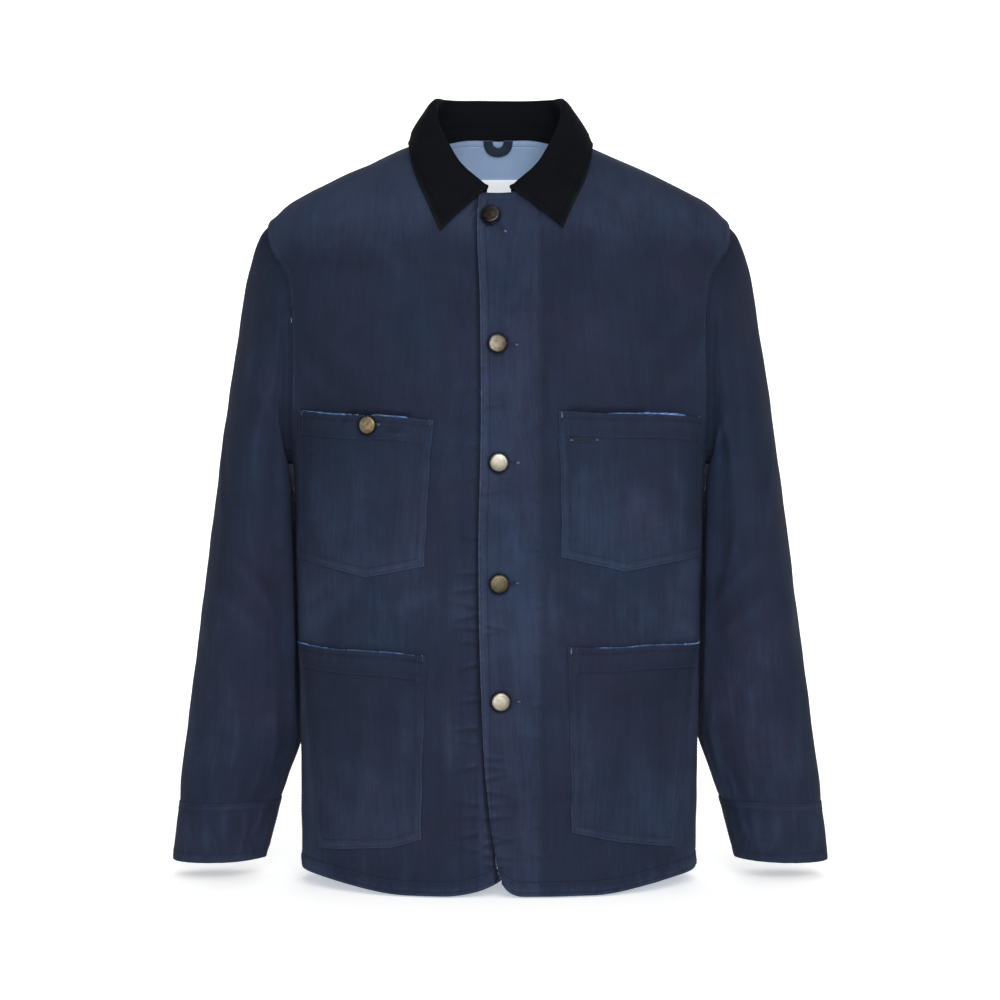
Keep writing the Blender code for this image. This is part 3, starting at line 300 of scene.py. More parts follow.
# Grids: how many cells each piece has
LAP_CELLS = 24
NECKLINE_CELLS = 36
SHOULDER_CELLS = 48
BACK_NECK_HALF_CELLS = 36
BODY_CELLS = 224
ARMHOLE_CELLS = 96
SLEEVE_CELLS = 120
UNDER_SLEEVE_CELLS = (88, 136)
CUFF_CELLS_ROUND = 110
CUFF_CELLS_DOWN = 32
STAND_CELLS = 8
LEAF_CELLS = 44
POCKET_CELLS = (72, 84)
FINE_CELLS = 480
SEAM_START_CELLS = 4
# The back has half as many rows below the armholes as the fronts, which carry the fine puckers
FRONT_ROWS = np.arange(BODY_CELLS + ARMHOLE_CELLS + 1)
BACK_ROWS = np.r_[0:BODY_CELLS:2, BODY_CELLS:BODY_CELLS + ARMHOLE_CELLS + 1]
ROUNDS = 12
NEWTON_ROUNDS = 30
NEWTON_EASE = 0.02
# Pattern columns of a front, which its hem's corner is set out by: how many the lap, the neckline
# and the shoulder take
LAP_COLUMNS = 2
NECKLINE_COLUMNS = 6
SHOULDER_COLUMNS = 8

# Columns beside a front's edge stand evenly apart from one height down, soft over a distance. Below
# a second height each is kept a step further inside the edge's line, which goes on past the hem
# with the slope of its lowest rows.
EVENED_FROM = -0.45
EVENED_OVER = 0.15
INSIDE_BELOW = -0.56
INSIDE_STEP = 0.0004
INSIDE_COLUMNS = 12
SLOPE_ROWS = 8

# Stage: paper level with the hem, a white room, soft lights and a long lens
FLOOR = -0.7275
SWEEP_RADIUS = 0.9
SWEEP_FROM = 2.7
PAPER_GLOW = 0.40
# The neck label glows a little of itself: painted light
LABEL_PAINTED_GLOW = 0.22
WORLD_STRENGTH = 0.25
LIGHTS = (
    # place, what it faces, size and watts
    ("key", (0.3, -3.2, 0.9), (0.0, 0.0, -0.35), (1.6, 1.2), 55.0),
    ("level", (-0.1, -3.3, -0.2), (0.0, 0.0, -0.35), (1.6, 0.8), 44.0),
    ("side", (1.4, -2.8, 1.2), (0.0, 0.0, -0.35), (1.6, 1.6), 20.0),
    ("backdrop", (0.0, -0.6, 3.4), (0.0, 1.7, -0.3), (4.0, 2.0), 15.0),
    ("back", (0.2, 3.2, 1.3), (0.0, 0.1, -0.35), (2.0, 1.4), 34.0),
)
CAMERA = (0.001, -2.5, -0.350)
LENS = 90.0
SENSOR = 36.0

# Creases put into the cloth: each runs along a bent line, as a ridge with a softer trough on one
# side. On the body and the pockets they are placed as seen from the front; on a sleeve and a cuff
# by the angle round it (outer side 0, front 90) and the distance down from its top.
FLAT_CREASE = "x0 z0 x1 z1 bend half_width rise"
RING_CREASE = "angle0* along0 angle1* along1 bend half_width rise"
FRONT_CREASES = table(FLAT_CREASE, """
    -188 -150 -128 -228 10 8.5 1.3,
    -192 -196 -150 -262 7 7 1.1,
    -150 -85 -85 -150 -8 11 1,
    -75 -140 -60 -235 6 10 0.9,
    -48 -250 -52 -390 4 6.5 1,
    -36 -400 -44 -520 -3 5.5 0.8,
    -50 -540 -38 -640 4 6 1,
    -24 -560 -30 -705 3 5 0.9,
    -196 -470 -150 -440 6 8 1.2,
    -194 -446 -160 -425 4 6 0.9,
    -66 -440 -100 -462 4 7 0.9,
    -130 -690 -126 -722 1 5 0.8,
    -86 -688 -92 -722 1 6 0.9,
    190 -145 132 -220 -9 8.5 1.2,
    194 -190 156 -252 -6 7 1.1,
    140 -80 88 -140 8 11 0.9,
    78 -150 66 -245 -5 10 0.9,
    52 -190 47 -330 -3 6 0.9,
    48 -350 53 -480 3 5.5 0.8,
    52 -500 46 -640 -4 6 1,
    28 -560 30 -700 3 5 0.8,
    196 -455 150 -432 -6 8 1.2,
    194 -478 166 -462 -4 6 1,
    64 -430 104 -456 -4 7 0.9,
    114 -690 112 -722 1 3.5 0.8,
    126 -690 125 -722 1 3.5 0.7,
    136 -692 136 -722 1 3.5 0.8,
    148 -694 149 -722 1 4 0.7,
    164 -694 166 -718 1 4.5 0.7,
    16 -230 20 -300 2 5 0.6,
    12 -345 18 -410 2 5 0.6,
    14 -460 20 -525 2 5 0.7,
    14 -575 22 -690 2 5 0.8""")
BACK_CREASES = table(FLAT_CREASE, """
    -205 -150 -130 -250 12 11 1.5,
    -200 -215 -150 -300 8 8 1.2,
    203 -155 124 -262 -13 11 1.5,
    201 -222 154 -315 -8 8 1.2,
    -45 -60 -105 -190 12 13 1.2,
    50 -55 112 -180 -10 13 1.2,
    -30 -280 -36 -520 8 12 1.2,
    34 -250 30 -500 -7 12 1.2,
    -185 -470 -70 -500 10 9 1.2,
    190 -455 80 -490 -10 9 1.2,
    -110 -560 -100 -710 6 10 1.1,
    118 -540 110 -705 -6 10 1.1,
    -160 -692 -156 -722 1 5 0.7,
    -60 -694 -58 -724 1 5 0.8,
    20 -694 21 -724 1 4.5 0.7,
    86 -694 90 -724 1 5 0.8,
    158 -692 156 -722 1 5 0.7""")
SLEEVE_CREASES = table(RING_CREASE, """
    40 30 75 190 8 9 1.3,
    105 40 92 230 -7 8 1.2,
    130 60 60 120 10 9 1.1,
    20 200 60 330 6 8 1.1,
    88 250 112 370 -6 7.5 1.2,
    60 330 130 395 10 8 1.6,
    45 375 120 420 8 7 1.4,
    70 440 100 560 5 7 1.2,
    30 450 50 570 -4 7 1,
    118 470 140 575 4 6 1.3,
    82 560 86 588 1 4 0.9,
    56 556 60 588 1 4 0.8,
    104 562 107 588 1 4 0.9,
    128 550 124 588 1 4.5 1,
    300 60 260 230 8 9 1.4,
    240 100 285 210 -8 8 1.2,
    250 300 310 390 10 9 1.7,
    235 350 300 430 8 8 1.5,
    275 450 262 575 5 7 1.2,
    320 460 334 575 4 7 1,
    200 330 160 400 6 7 1.4,
    160 420 200 470 6 7 1.2""")
SLEEVE_TWIST = {"left": 9.0, "right": -7.0}
CUFF_CREASES = table(RING_CREASE, """
    62 4 64 52 2 4 0.8,
    84 0 92 46 -2 4.5 1,
    108 6 112 58 2 4 0.9,
    128 0 124 40 2 4 1,
    146 10 150 58 -1 3.5 0.8,
    36 8 32 54 2 4.5 0.8,
    270 4 264 50 2 5 0.9,
    300 0 306 44 -2 4.5 0.9,
    236 6 240 54 2 4.5 0.8""")
POCKET_CREASES = {
    "pocket_chest_right": table(FLAT_CREASE, """
        -180 -290 -172 -395 3 6 0.8,
        -113 -281.2 -84 -282.2 1 2.8 -2.2,
        -135 -300 -128 -405 3 7 0.8,
        -187 -297 -176 -303 1 2.2 0.6,
        -90 -310 -94 -400 -3 6 0.7"""),
    "pocket_chest_left": table(FLAT_CREASE, """
        85 -295 78 -392 3 6 0.8,
        130 -280 126 -400 -3 7 0.8,
        172 -285 178 -395 3 6 0.8,
        150 -272 186 -276 2 3 0.9"""),
    "pocket_hip_right": table(FLAT_CREASE, """
        -176 -510 -164 -660 4 8 1.1,
        -130 -506 -126 -668 -4 8 1,
        -86 -512 -90 -655 3 7 0.9,
        -180 -540 -150 -548 3 5 0.8"""),
    "pocket_hip_left": table(FLAT_CREASE, """
        84 -508 86 -650 3 7 0.9,
        128 -500 124 -664 -4 8 1,
        178 -505 162 -660 -4 8 1.1,
        182 -545 150 -552 3 5 0.8"""),
}
# Puckers along the stitch lines of the centre front: where each line lies across, which way its
# puckers run from it and how far, and the heights of the puckers with how strong each is
PUCKER = "height strength*"
PUCKER_LINES = {
    "under_front": (-0.0215, -1, 0.0150, table(PUCKER, """
        -246 0.3, -301 0.4, -330 0.3, -388 0.5, -421 0.8, -436 0.9, -453 0.7, -461 0.8, -474 0.9,
        -487 0.7, -508 1, -534 0.6, -541 0.9, -568 1.2, -583 0.6, -604 0.9, -640 0.8, -652 0.7,
        -668 0.9, -684 0.8""")),
    "top_front": (-0.0120, 1, 0.0170, table(PUCKER, """
        -262 0.3, -345 0.3, -470 0.5, -478 0.4, -596 0.6, -604 0.5, -616 0.8, -627 0.7, -641 0.6,
        -653 1.2, -668 0.7, -678 1, -688 0.9, -698 0.7""")),
    "facing": (0.0400, -1, 0.0080, table(PUCKER, """
        -190 0.3, -235 0.4, -280 0.3, -352 0.3, -398 0.4, -452 0.4, -498 0.3, -545 0.5, -577 0.4,
        -633 0.5, -660 0.4, -690 0.5""")),
}
PUCKER_RISE = 0.0010
PUCKER_HALF_HEIGHT = 0.0021
FACING_GROOVE = (0.0004, 0.0016)
UNDER_FACING_LINE = -0.0355
# Where painted shadow lies on the cloth above the chest pockets' standing mouths: the parts of
# each, from 0 to 1 in the wearer's left direction
MOUTH_SHADES = (("pocket_chest_right", 0.34, 0.86), ("pocket_chest_left", 0.04, 0.62))
# Cloth round each button: how deep it is pressed in, how far that and the painted shade reach in
# the button's own radii, and how far the painted shade's middle lies aside and below
BUTTON_HOLLOW = 0.0009
HOLLOW_REACH = (1.02, 1.60)
SHADE_REACH = (1.06, 1.32)
SHADE_ASIDE = (-0.0004, -0.0006)
# How much paler cloth rubs on creases and puckers of these heights, and how much painted shade
# darkens their troughs
CREASE_WEAR_AND_SHADE = (0.060, 0.0016)
PUCKER_WEAR_AND_SHADE = (0.110, 0.0007)

# Seams: how far each stitch line lies in from the edge, how far off the edge is on a piece without
# finished edges, and the ridges beside the seams
STITCH_LINES = (0.0022, 0.0086)
HEM_BAND = 0.0140
HEM_STITCH = 0.0130
COLLAR_STITCH = 0.0065
POCKET_HEM_STITCH = 0.0225
UNEDGED = 0.1
FELLED_RISE = 0.0007
ARMHOLE_RISE = 0.0011
SLEEVE_DIP = 0.0007
BAND_RISE = 0.0006
ROPING_RISE = 0.00055
ROPING_LENGTH = 0.0115

# Thread: stitch pitch and length, and how thick it stands
STITCH_PITCH = 0.0032
STITCH_LENGTH = 0.0025
THREAD_RADIUS = 0.00026
WHIP_RADIUS = 0.00030
YARN_RADIUS = 0.000169
LYING_YARNS = 52
BEVEL = 0.00035
# Spacing of the woven ridges. The twill's is about twice the real one's, so that it shows. A wave
# pattern of scale 1 repeats every 314 mm.
TWILL_SPACING = 0.0016
WALE_SPACING = 0.0021
WAVE_LENGTH = 0.314
# Frayed mouths: where along each, from 0 to 1 in the wearer's left direction, how rubbed it is
# there, how many yarns stand out and how long they are
FRAYS = {
    "pocket_chest_right": ((0.02, 0.80, 0.10, 34, 0.0016), (0.18, 0.38, 0.30, 50, 0.0026),
                           (0.62, 0.82, 0.28, 44, 0.0022)),
    "pocket_chest_left": ((0.34, 0.46, 0.12, 12, 0.0014), (0.46, 0.60, 0.24, 34, 0.0022),
                          (0.58, 0.86, 0.66, 130, 0.0032), (0.73, 0.80, 0.20, 40, 0.0046)),
    "pocket_hip_right": ((0.00, 0.92, 0.26, 60, 0.0014), (0.02, 0.12, 0.18, 30, 0.0026)),
    "pocket_hip_left": ((0.22, 1.00, 0.34, 80, 0.0014), (0.86, 0.99, 0.22, 36, 0.0028)),
}

# The cut: flat width and length of each piece of cloth before it was sewn, seams let in
CUTS = {
    "front_left": (0.330, 0.800), "front_right": (0.330, 0.800), "back": (0.600, 0.820),
    "sleeve_left_top": (0.340, 0.610), "sleeve_right_top": (0.340, 0.610),
    "sleeve_left_under": (0.170, 0.480), "sleeve_right_under": (0.170, 0.480),
    "cuff_left": (0.284, 0.064), "cuff_right": (0.284, 0.064),
    "collar_stand": (0.440, 0.026), "collar_leaf": (0.510, 0.085),
    "pocket_chest_left": (0.145, 0.173), "pocket_chest_right": (0.142, 0.169),
    "pocket_hip_left": (0.140, 0.200), "pocket_hip_right": (0.135, 0.200),
    "neck_label": (0.040, 0.043), "hanger_loop": (0.022, 0.110),
}
LEAST_CUT_SHARE = 0.3
TWILL = ("washed_navy_twill", "pale_blue_reverse")
MATERIALS = {}


# ---------------------------------------------------------------- lines and curves

def curve_through(known, values, at):
    """Smooth curve through (known, values): cubic between rows, straight past the ends."""
    slope = np.gradient(values, known, axis=0)
    inside = np.clip(at, known[0], known[-1])
    row = np.clip(np.searchsorted(known, inside, side="right") - 1, 0, len(known) - 2)
    step = known[row + 1] - known[row]
    share = (inside - known[row]) / step
    share = share.reshape(share.shape + (1,) * (values.ndim - 1))
    step = step.reshape(share.shape)
    start = (1 + 2 * share) * (1 - share) ** 2 * values[row]
    start = start + share * (1 - share) ** 2 * step * slope[row]
    finish = share ** 2 * (3 - 2 * share) * values[row + 1]
    finish = finish + share ** 2 * (share - 1) * step * slope[row + 1]
    past = (at - inside).reshape(share.shape)
    return start + finish + past * np.where(past < 0, slope[0], slope[-1])


def through_rows(rows, cells):
    """The same sheet with evenly spaced rows, on smooth curves through each column's points."""
    run = np.linalg.norm(np.diff(rows, axis=0), axis=-1).mean(axis=-1)
    run = np.concatenate([[0], np.cumsum(run)])
    return curve_through(run, rows, np.linspace(0, run[-1], cells + 1))


def read(source, name, at):
    """A column's value at any place along the table's first column."""
    return curve_through(next(iter(source.values())), source[name], np.asarray(at, dtype=float))


def width_at(height):
    """Half width of the torso at a height."""
    return read(BODY, "half_width", height)


def smoothstep(share):
    """0 to 1 with soft ends."""
    share = np.clip(share, 0.0, 1.0)
    return share * share * (3.0 - 2.0 * share)


def bell(off, half_width):
    """1 at a line or an edge, fading to 0 on either side of it as a bell curve."""
    return np.exp(-(off / half_width) ** 2)


def between(near, far, share):
    """Value between a near and a far line, at a share of the way across."""
    return near * (1 - share) + far * share


def run_along(points):
    """Distance of each point of a line from its start."""
    return np.concatenate([[0], np.cumsum(np.linalg.norm(np.diff(points, axis=0), axis=1))])


def sample(at, run, values):
    """Rows of values, known at distances along a line, at other distances along it."""
    return np.stack([np.interp(at, run, column) for column in values.T], axis=-1)


def unit(vectors):
    """Vectors of length one."""
    return vectors / np.maximum(np.linalg.norm(vectors, axis=-1, keepdims=True), 1e-12)


def grid_normals(grid):
    """Unit normal at each point of a grid: the mean of the cells' crossed diagonals round it."""
    normal = unit(np.cross(grid[1:, 1:] - grid[:-1, :-1], grid[1:, :-1] - grid[:-1, 1:]))
    total_normal = np.zeros_like(grid)
    near, far = slice(0, -1), slice(1, None)
    for place in ((near, near), (near, far), (far, near), (far, far)):
        total_normal[place] += normal
    return unit(total_normal)


def pushed_out(grid, rise):
    """A grid with each point moved along its normal."""
    return grid + grid_normals(grid) * rise[..., None]


# ---------------------------------------------------------------- torso surface

def face_values(across, face):
    """Shoulder height and drop at a distance across, for the front (+1) or the back (-1)."""
    across = np.abs(across)
    nape = (1 - np.clip(across / NAPE_END, 0, 1) ** NAPE_LEVEL_POWER) ** NAPE_END_POWER
    ridge = read(RIDGE, "ridge", across) + np.where(face > 0, 0.0, NAPE_RISE * nape)
    drops = (read(RIDGE, name, across) for name in ("front_drop", "back_drop"))
    return ridge, np.where(face > 0, *drops)


def depth_at(height, face):
    """Depth of the section at a height, in front (+1) or behind (-1)."""
    return np.where(face > 0, read(BODY, "front_depth", height), read(BODY, "back_depth", height))


def section(share):
    """Superellipse: depth, as a share, at a share of the half width."""
    return np.clip(1 - np.abs(share) ** SECTION_POWER, 0, 1) ** (1 / SECTION_POWER)


def fallen(down):
    """How far the cloth has come down, in drops: round a quarter circle, and then straight."""
    return np.where(down < RIGHT_ANGLE, 1 - np.cos(down), 1 + down - RIGHT_ANGLE)


def torso(turn, down, face):
    """Point on the torso. `turn` runs round it from 0 in the middle to a right angle at the side.

    `down` is an angle too: over the shoulder it turns from 0 on the ridge to a right angle, where
    the cloth hangs straight, and then goes on growing down to the hem.
    """
    height = np.full(np.shape(turn), -0.2)
    for _ in range(ROUNDS):
        across = width_at(height) * np.sin(turn)
        ridge, drop = face_values(across, face)
        height = ridge - drop * fallen(down)
    depth = depth_at(height, face) * section(np.sin(turn)) * np.sin(np.minimum(down, RIGHT_ANGLE))
    return np.stack([across, -face * depth, height], axis=-1)


def seen_from_front(across, height, face):
    """`turn` and `down` of the torso point at a place seen from the front."""
    ridge, drop = face_values(across, face)
    over = np.clip((ridge - height) / drop, 0, None)
    down = np.where(over < 1, np.arccos(np.clip(1 - over, -1, 1)), RIGHT_ANGLE + over - 1)
    return np.stack([np.arcsin(np.clip(across / width_at(height), -1, 1)), down], axis=-1)


def seen_from_above(across, reach, face):
    """`turn` and `down` of the torso point at a place seen from above, over the shoulders."""
    ridge, drop = face_values(across, face)
    height = ridge
    for _ in range(ROUNDS):
        share = across / width_at(height)
        down = np.arcsin(np.clip(reach / (depth_at(height, face) * section(share)), 0, 1))
        height = ridge - drop * (1 - np.cos(down))
    return np.stack([np.arcsin(share), down], axis=-1)


def evenly(turn_down, face, cells):
    """The same line over the torso with its points evenly spaced along it."""
    run = run_along(torso(turn_down[:, 0], turn_down[:, 1], face))
    return sample(np.linspace(0, run[-1], cells + 1), run, turn_down)


def rolled_reach(turn):
    """How far the shoulder reaches forwards or back, when it is rolled up to lie in one plane."""
    return ROLLED_DEPTH * section(np.sin(turn))


def rolled_up(line, face):
    """Line of (turn, down) as (turn, rolled height), with the shoulder rolled upright."""
    turn, down = line[..., 0], line[..., 1]
    height = torso(turn, down, face)[..., 2]
    rolled = height + rolled_reach(turn) * (1 - np.sin(np.minimum(down, RIGHT_ANGLE)))
    return np.stack([turn, rolled], axis=-1)


def rolled_back(turn, rolled, face):
    """(turn, down) again from the turn and the rolled height, by Newton's steps."""
    reach = rolled_reach(turn)
    down = np.full(turn.shape, 1.0)
    height = rolled
    for _ in range(NEWTON_ROUNDS):
        ridge, drop = face_values(width_at(height) * np.sin(turn), face)
        height = ridge - drop * fallen(down)
        bent = np.minimum(down, RIGHT_ANGLE)
        miss = height + reach * (1 - np.sin(bent)) - rolled
        down = down + miss / (drop * np.sin(bent) + reach * np.cos(bent) + NEWTON_EASE)
        down = np.clip(down, 0, None)
    return np.stack([turn, down], axis=-1)


def share_along(line, column):
    """How far each point of a line has come, from 0 at its start to 1 at its end."""
    return (line[:, column] - line[0, column]) / (line[-1, column] - line[0, column])


def panel(bottom, top, inner, outer, face):
    """Panel of the torso between four lines of (turn, down), rows upwards, columns outwards.

    Its rows lie level, but bend down to the hem and up to the shoulder. Its columns stand over
    their places at the bottom and lean over to their places at the top only near it, so that they
    meet the neckline across its run.
    """
    low, high, near, far = (rolled_up(line, face) for line in (bottom, top, inner, outer))
    rise = ((share_along(near, 1) + share_along(far, 1)) / 2)[:, None]
    lean = np.clip((rise - LEAN_FROM) / (1 - LEAN_FROM), 0, 1) ** 2
    low_share, high_share = share_along(low, 0), share_along(high, 0)
    share = low_share + (high_share - low_share) * lean
    turn = between(near[:, :1], far[:, :1], share)
    level = between(near[:, 1:], far[:, 1:], share)
    high_miss = high[:, 1] - between(near[-1, 1], far[-1, 1], high_share)
    low_miss = low[:, 1] - between(near[0, 1], far[0, 1], low_share)
    bend_up = np.clip((rise - LEVEL_UP_TO) / (1 - LEVEL_UP_TO), 0, 1) ** BEND_POWER
    bend_down = np.clip(1 - rise / LEVEL_FROM, 0, 1) ** BEND_POWER
    grid = rolled_back(turn, level + high_miss * bend_up + low_miss * bend_down, face)
    grid[0], grid[-1], grid[:, 0], grid[:, -1] = bottom, top, inner, outer
    return torso(grid[..., 0], grid[..., 1], face)


def side_line(face):
    """Side seam from hem to underarm, then the armhole up to the shoulder point."""
    seam_heights = np.linspace(HEM_SIDE, UNDERARM, BODY_CELLS + 1)
    seam = seen_from_front(width_at(seam_heights), seam_heights, face)
    top = face_values(np.array(SHOULDER_POINT), face)[0]
    heights = np.concatenate([[UNDERARM], ARMHOLE["height"], [top]])
    armhole_across = ARMHOLE["front_across" if face > 0 else "back_across"]
    across = np.concatenate([[width_at(UNDERARM)], armhole_across, [SHOULDER_POINT]])
    fine = np.linspace(0, len(heights) - 1, FINE_CELLS + 1)
    rows = np.arange(len(heights), dtype=float)
    fine_heights = np.maximum.accumulate(curve_through(rows, heights, fine))
    armhole = seen_from_front(curve_through(rows, across, fine), fine_heights, face)
    seam[:, 0] = armhole[0, 0] = RIGHT_ANGLE
    return np.concatenate([seam, evenly(armhole, face, ARMHOLE_CELLS)[1:]])


def shoulder_line(face):
    """Shoulder seam from the neck to the shoulder point, along the ridge."""
    across = np.linspace(NECK_HALF_WIDTH, SHOULDER_POINT, SHOULDER_CELLS + 1)
    line = seen_from_front(across, face_values(across, face)[0], face)
    line[:, 1] = 0.0
    return line


def neckline_line(face, cells, ends_at):
    """Neckline from a distance across, out to the shoulder seam, evenly spaced.

    In plan the neck hole is a superellipse.
    """
    reach = NECK_FRONT_REACH if face > 0 else NECK_BACK_REACH
    angle = np.linspace(RIGHT_ANGLE, 0, FINE_CELLS + 1)
    across = NECK_HALF_WIDTH * np.cos(angle) ** (2 / NECK_POWER)
    forward = reach * np.sin(angle) ** (2 / NECK_POWER)
    keep = across > ends_at
    across = np.concatenate([[ends_at], across[keep]])
    forward = np.concatenate([[np.interp(ends_at, across[1:], forward[keep])], forward[keep]])
    line = evenly(seen_from_above(across, forward, face), face, cells)
    line[-1, 1] = 0.0
    return line


def pattern_columns():
    """Each fine column's place among the pattern's own columns."""
    lap = np.linspace(0, LAP_COLUMNS, LAP_CELLS + 1)
    neckline = LAP_COLUMNS + np.linspace(0, NECKLINE_COLUMNS, NECKLINE_CELLS + 1)
    shoulder = np.linspace(0, SHOULDER_COLUMNS, SHOULDER_CELLS + 1)
    return np.concatenate([lap, neckline[1:], LAP_COLUMNS + NECKLINE_COLUMNS + shoulder[1:]])


def centre_heights(foot, top):
    """Heights of a panel's rows along its middle: evenly up to the underarm, and on to its top."""
    return np.concatenate([np.linspace(foot, UNDERARM, BODY_CELLS + 1),
                           np.linspace(UNDERARM, top, ARMHOLE_CELLS + 1)[1:]])


def front_grid(side):
    """A front, its inner edge first. The left one laps on top, and the right one dips under it."""
    def past_middle(height):
        return read(LEFT_EDGE, "past_middle", height) if side == "left" else RIGHT_EDGE_PAST
    past_top = past_middle(NECKLINE_LEVEL)
    collar_end = neckline_line(1, NECKLINE_CELLS, COLLAR_END)
    level = torso(collar_end[:1, 0], collar_end[:1, 1], 1)[0, 2]
    lap = np.linspace(-past_top, COLLAR_END, LAP_CELLS + 1)[:-1]
    lap_line = seen_from_front(lap, np.full(LAP_CELLS, level), 1)
    top = np.concatenate([lap_line, collar_end, shoulder_line(1)[1:]])

    run, rise = CORNERS[side]
    heights = centre_heights(HEM_FRONT + rise, level)
    past = np.broadcast_to(past_middle(heights), heights.shape).copy()
    past[-1] = past_top
    inner = seen_from_front(-past, heights, 1)

    half_width = width_at(HEM_FRONT)
    place = pattern_columns()
    corner_end = -past[0] + run * PAST_CORNER
    round_corner = np.clip(place / (CORNER_POINTS - 1), 0, 1)
    after = np.clip((place - CORNER_POINTS + 1) / (place[-1] - CORNER_POINTS + 1), 0, 1)
    turn = between(math.asin(corner_end / half_width), RIGHT_ANGLE, after)
    across = np.where(after > 0, half_width * np.sin(turn),
                      between(-past[0], corner_end, round_corner))
    rounding = 1 - np.sqrt(1 - np.clip(1 - (across + past[0]) / run, 0, 1) ** 2)
    to_side = smoothstep((across / half_width - HEM_RISES_FROM) / (1 - HEM_RISES_FROM))
    level_hem = HEM_FRONT + (HEM_SIDE - HEM_FRONT) * to_side
    hem = seen_from_front(across, level_hem + rise * rounding, 1)
    outer = side_line(1)
    hem[0], hem[-1] = inner[0], outer[0]
    points = panel(hem, top, inner, outer, 1)
    if side == "right":
        dip = LAP_DIP * smoothstep((LAP_DIP_NONE - points[..., 0]) / (LAP_DIP_NONE - LAP_DIP_FULL))
        points = pushed_out(points, -dip)
        points[..., 0] *= -1
    return points


def back_grid():
    """The back, from the wearer's right side seam across to the left one."""
    neck = neckline_line(-1, BACK_NECK_HALF_CELLS, 0.0)
    half_top = np.concatenate([neck, shoulder_line(-1)[1:]])
    outer = side_line(-1)
    heights = centre_heights(HEM_BACK, torso(neck[:1, 0], neck[:1, 1], -1)[0, 2])
    middle = seen_from_front(np.zeros_like(heights), heights, -1)
    middle[-1] = half_top[0]
    turn = np.linspace(0, RIGHT_ANGLE, len(half_top))
    level = HEM_BACK + (HEM_SIDE - HEM_BACK) * smoothstep(np.sin(turn))
    hem = seen_from_front(width_at(HEM_BACK) * np.sin(turn), level, -1)
    hem[0], hem[-1] = middle[0], outer[0]
    points = panel(hem, half_top, middle, outer, -1)
    return np.concatenate([(points[:, ::-1] * (-1, 1, 1))[:, :-1], points], axis=1)


# ---------------------------------------------------------------- sleeves, cuffs and collar

def ring_points(source, along, angle):
    """Points of slanting rings: outer at 0 degrees, front at 90, inner at 180, back at 270."""
    outer_x, outer_z, inner_x, inner_z, centre_y, half_depth = (
        read(source, name, along) for name in RING_COLUMNS.split()[1:])
    turn = np.radians(angle)
    x, z = ((outer + inner) / 2 + (outer - inner) / 2 * np.cos(turn)
            for outer, inner in ((outer_x, inner_x), (outer_z, inner_z)))
    return np.stack([x, centre_y - half_depth * np.sin(turn), z], axis=-1)


def clear_of_body(points):
    """Push points outwards so that they lie clear of the body's section."""
    x, y, z = np.moveaxis(points, -1, 0)
    depth = depth_at(z, np.where(y < 0, 1, -1))
    body = width_at(z) * section(np.clip(np.abs(y) / depth, 0, 1)) + BODY_CLEARANCE
    off = x - body
    soft = body + (off + np.sqrt(off ** 2 + CLEAR_SOFTLY ** 2)) / 2
    return np.stack([np.where(z < CLEAR_BELOW, soft, x), y, z], axis=-1)


def sleeve_rows():
    """Distance down the sleeve of each of its rows, closer together at the top."""
    share = np.linspace(0, 1, SLEEVE_CELLS + 1)
    return SLEEVE["along"][-1] * ((1 - ROW_CROWDING) * share + ROW_CROWDING * share ** 2)


def sleeve_grid(side, armhole):
    """A whole sleeve: rows from the armhole to the cuff, columns round it from the outer side."""
    angle = np.linspace(0, 360, 2 * ARMHOLE_CELLS + 1)
    along, angle = np.meshgrid(sleeve_rows(), angle, indexing="ij")
    plain = ring_points(SLEEVE, along, angle)
    points = plain + (armhole - plain[0])[None] * (1 - smoothstep(along / ARMHOLE_FADE))[..., None]
    pushed = clear_of_body(points)
    points = points + (pushed - points) * smoothstep(along / CLEAR_FADE)[..., None]
    points[..., 0] += SLEEVE_SPREAD[side] * (along / SLEEVE["along"][-1]) ** 2
    return points * (SIDES[side], 1, 1)


def cuff_grid(side):
    """Open cuff: rows down from the seam, columns round it from the slit's back to its front."""
    down = np.linspace(0, 1, CUFF_CELLS_DOWN + 1)[:, None]
    opened = np.clip((down - SLIT_TOP_SHARE) / (1 - SLIT_TOP_SHARE), 0, 1)
    start = SLIT_AT + SLIT_HALF_GAP + SLIT_BACK_OPEN * opened
    finish = SLIT_AT + 360 - SLIT_HALF_GAP - SLIT_FRONT_OPEN * opened
    angle = start + (finish - start) * np.linspace(0, 1, CUFF_CELLS_ROUND + 1)[None]
    along = np.broadcast_to(CUFF["along"][-1] * down, angle.shape)
    points = ring_points(CUFF, along, 360 - angle) + (SLEEVE_SPREAD[side], 0, 0)
    return points * (SIDES[side], 1, 1)


def over_shoulder(points, lift):
    """Raise points that would sink into the shoulders to `lift` above them."""
    across, forward = points[..., 0], np.abs(points[..., 1])
    face = np.where(points[..., 1] < 0, 1, -1)
    ridge, drop = face_values(across, face)
    height = ridge
    for _ in range(ROUNDS):
        full = depth_at(height, face) * section(across / width_at(height))
        share = np.clip(forward / full, 0, STEEPEST_REACH)
        height = ridge - drop * (1 - np.sqrt(1 - share ** 2))
    steep = 1 / np.sqrt(1 - share ** 2)
    reach = np.where(face > 0, NECK_FRONT_REACH, NECK_BACK_REACH)
    hole = np.abs(across / NECK_HALF_WIDTH) ** NECK_POWER + np.abs(forward / reach) ** NECK_POWER
    raised = np.maximum(points[..., 2], height + lift * (1 + steep) / 2)
    out = points.copy()
    out[..., 2] = np.where(hole < 1.0, points[..., 2], raised)
    return out


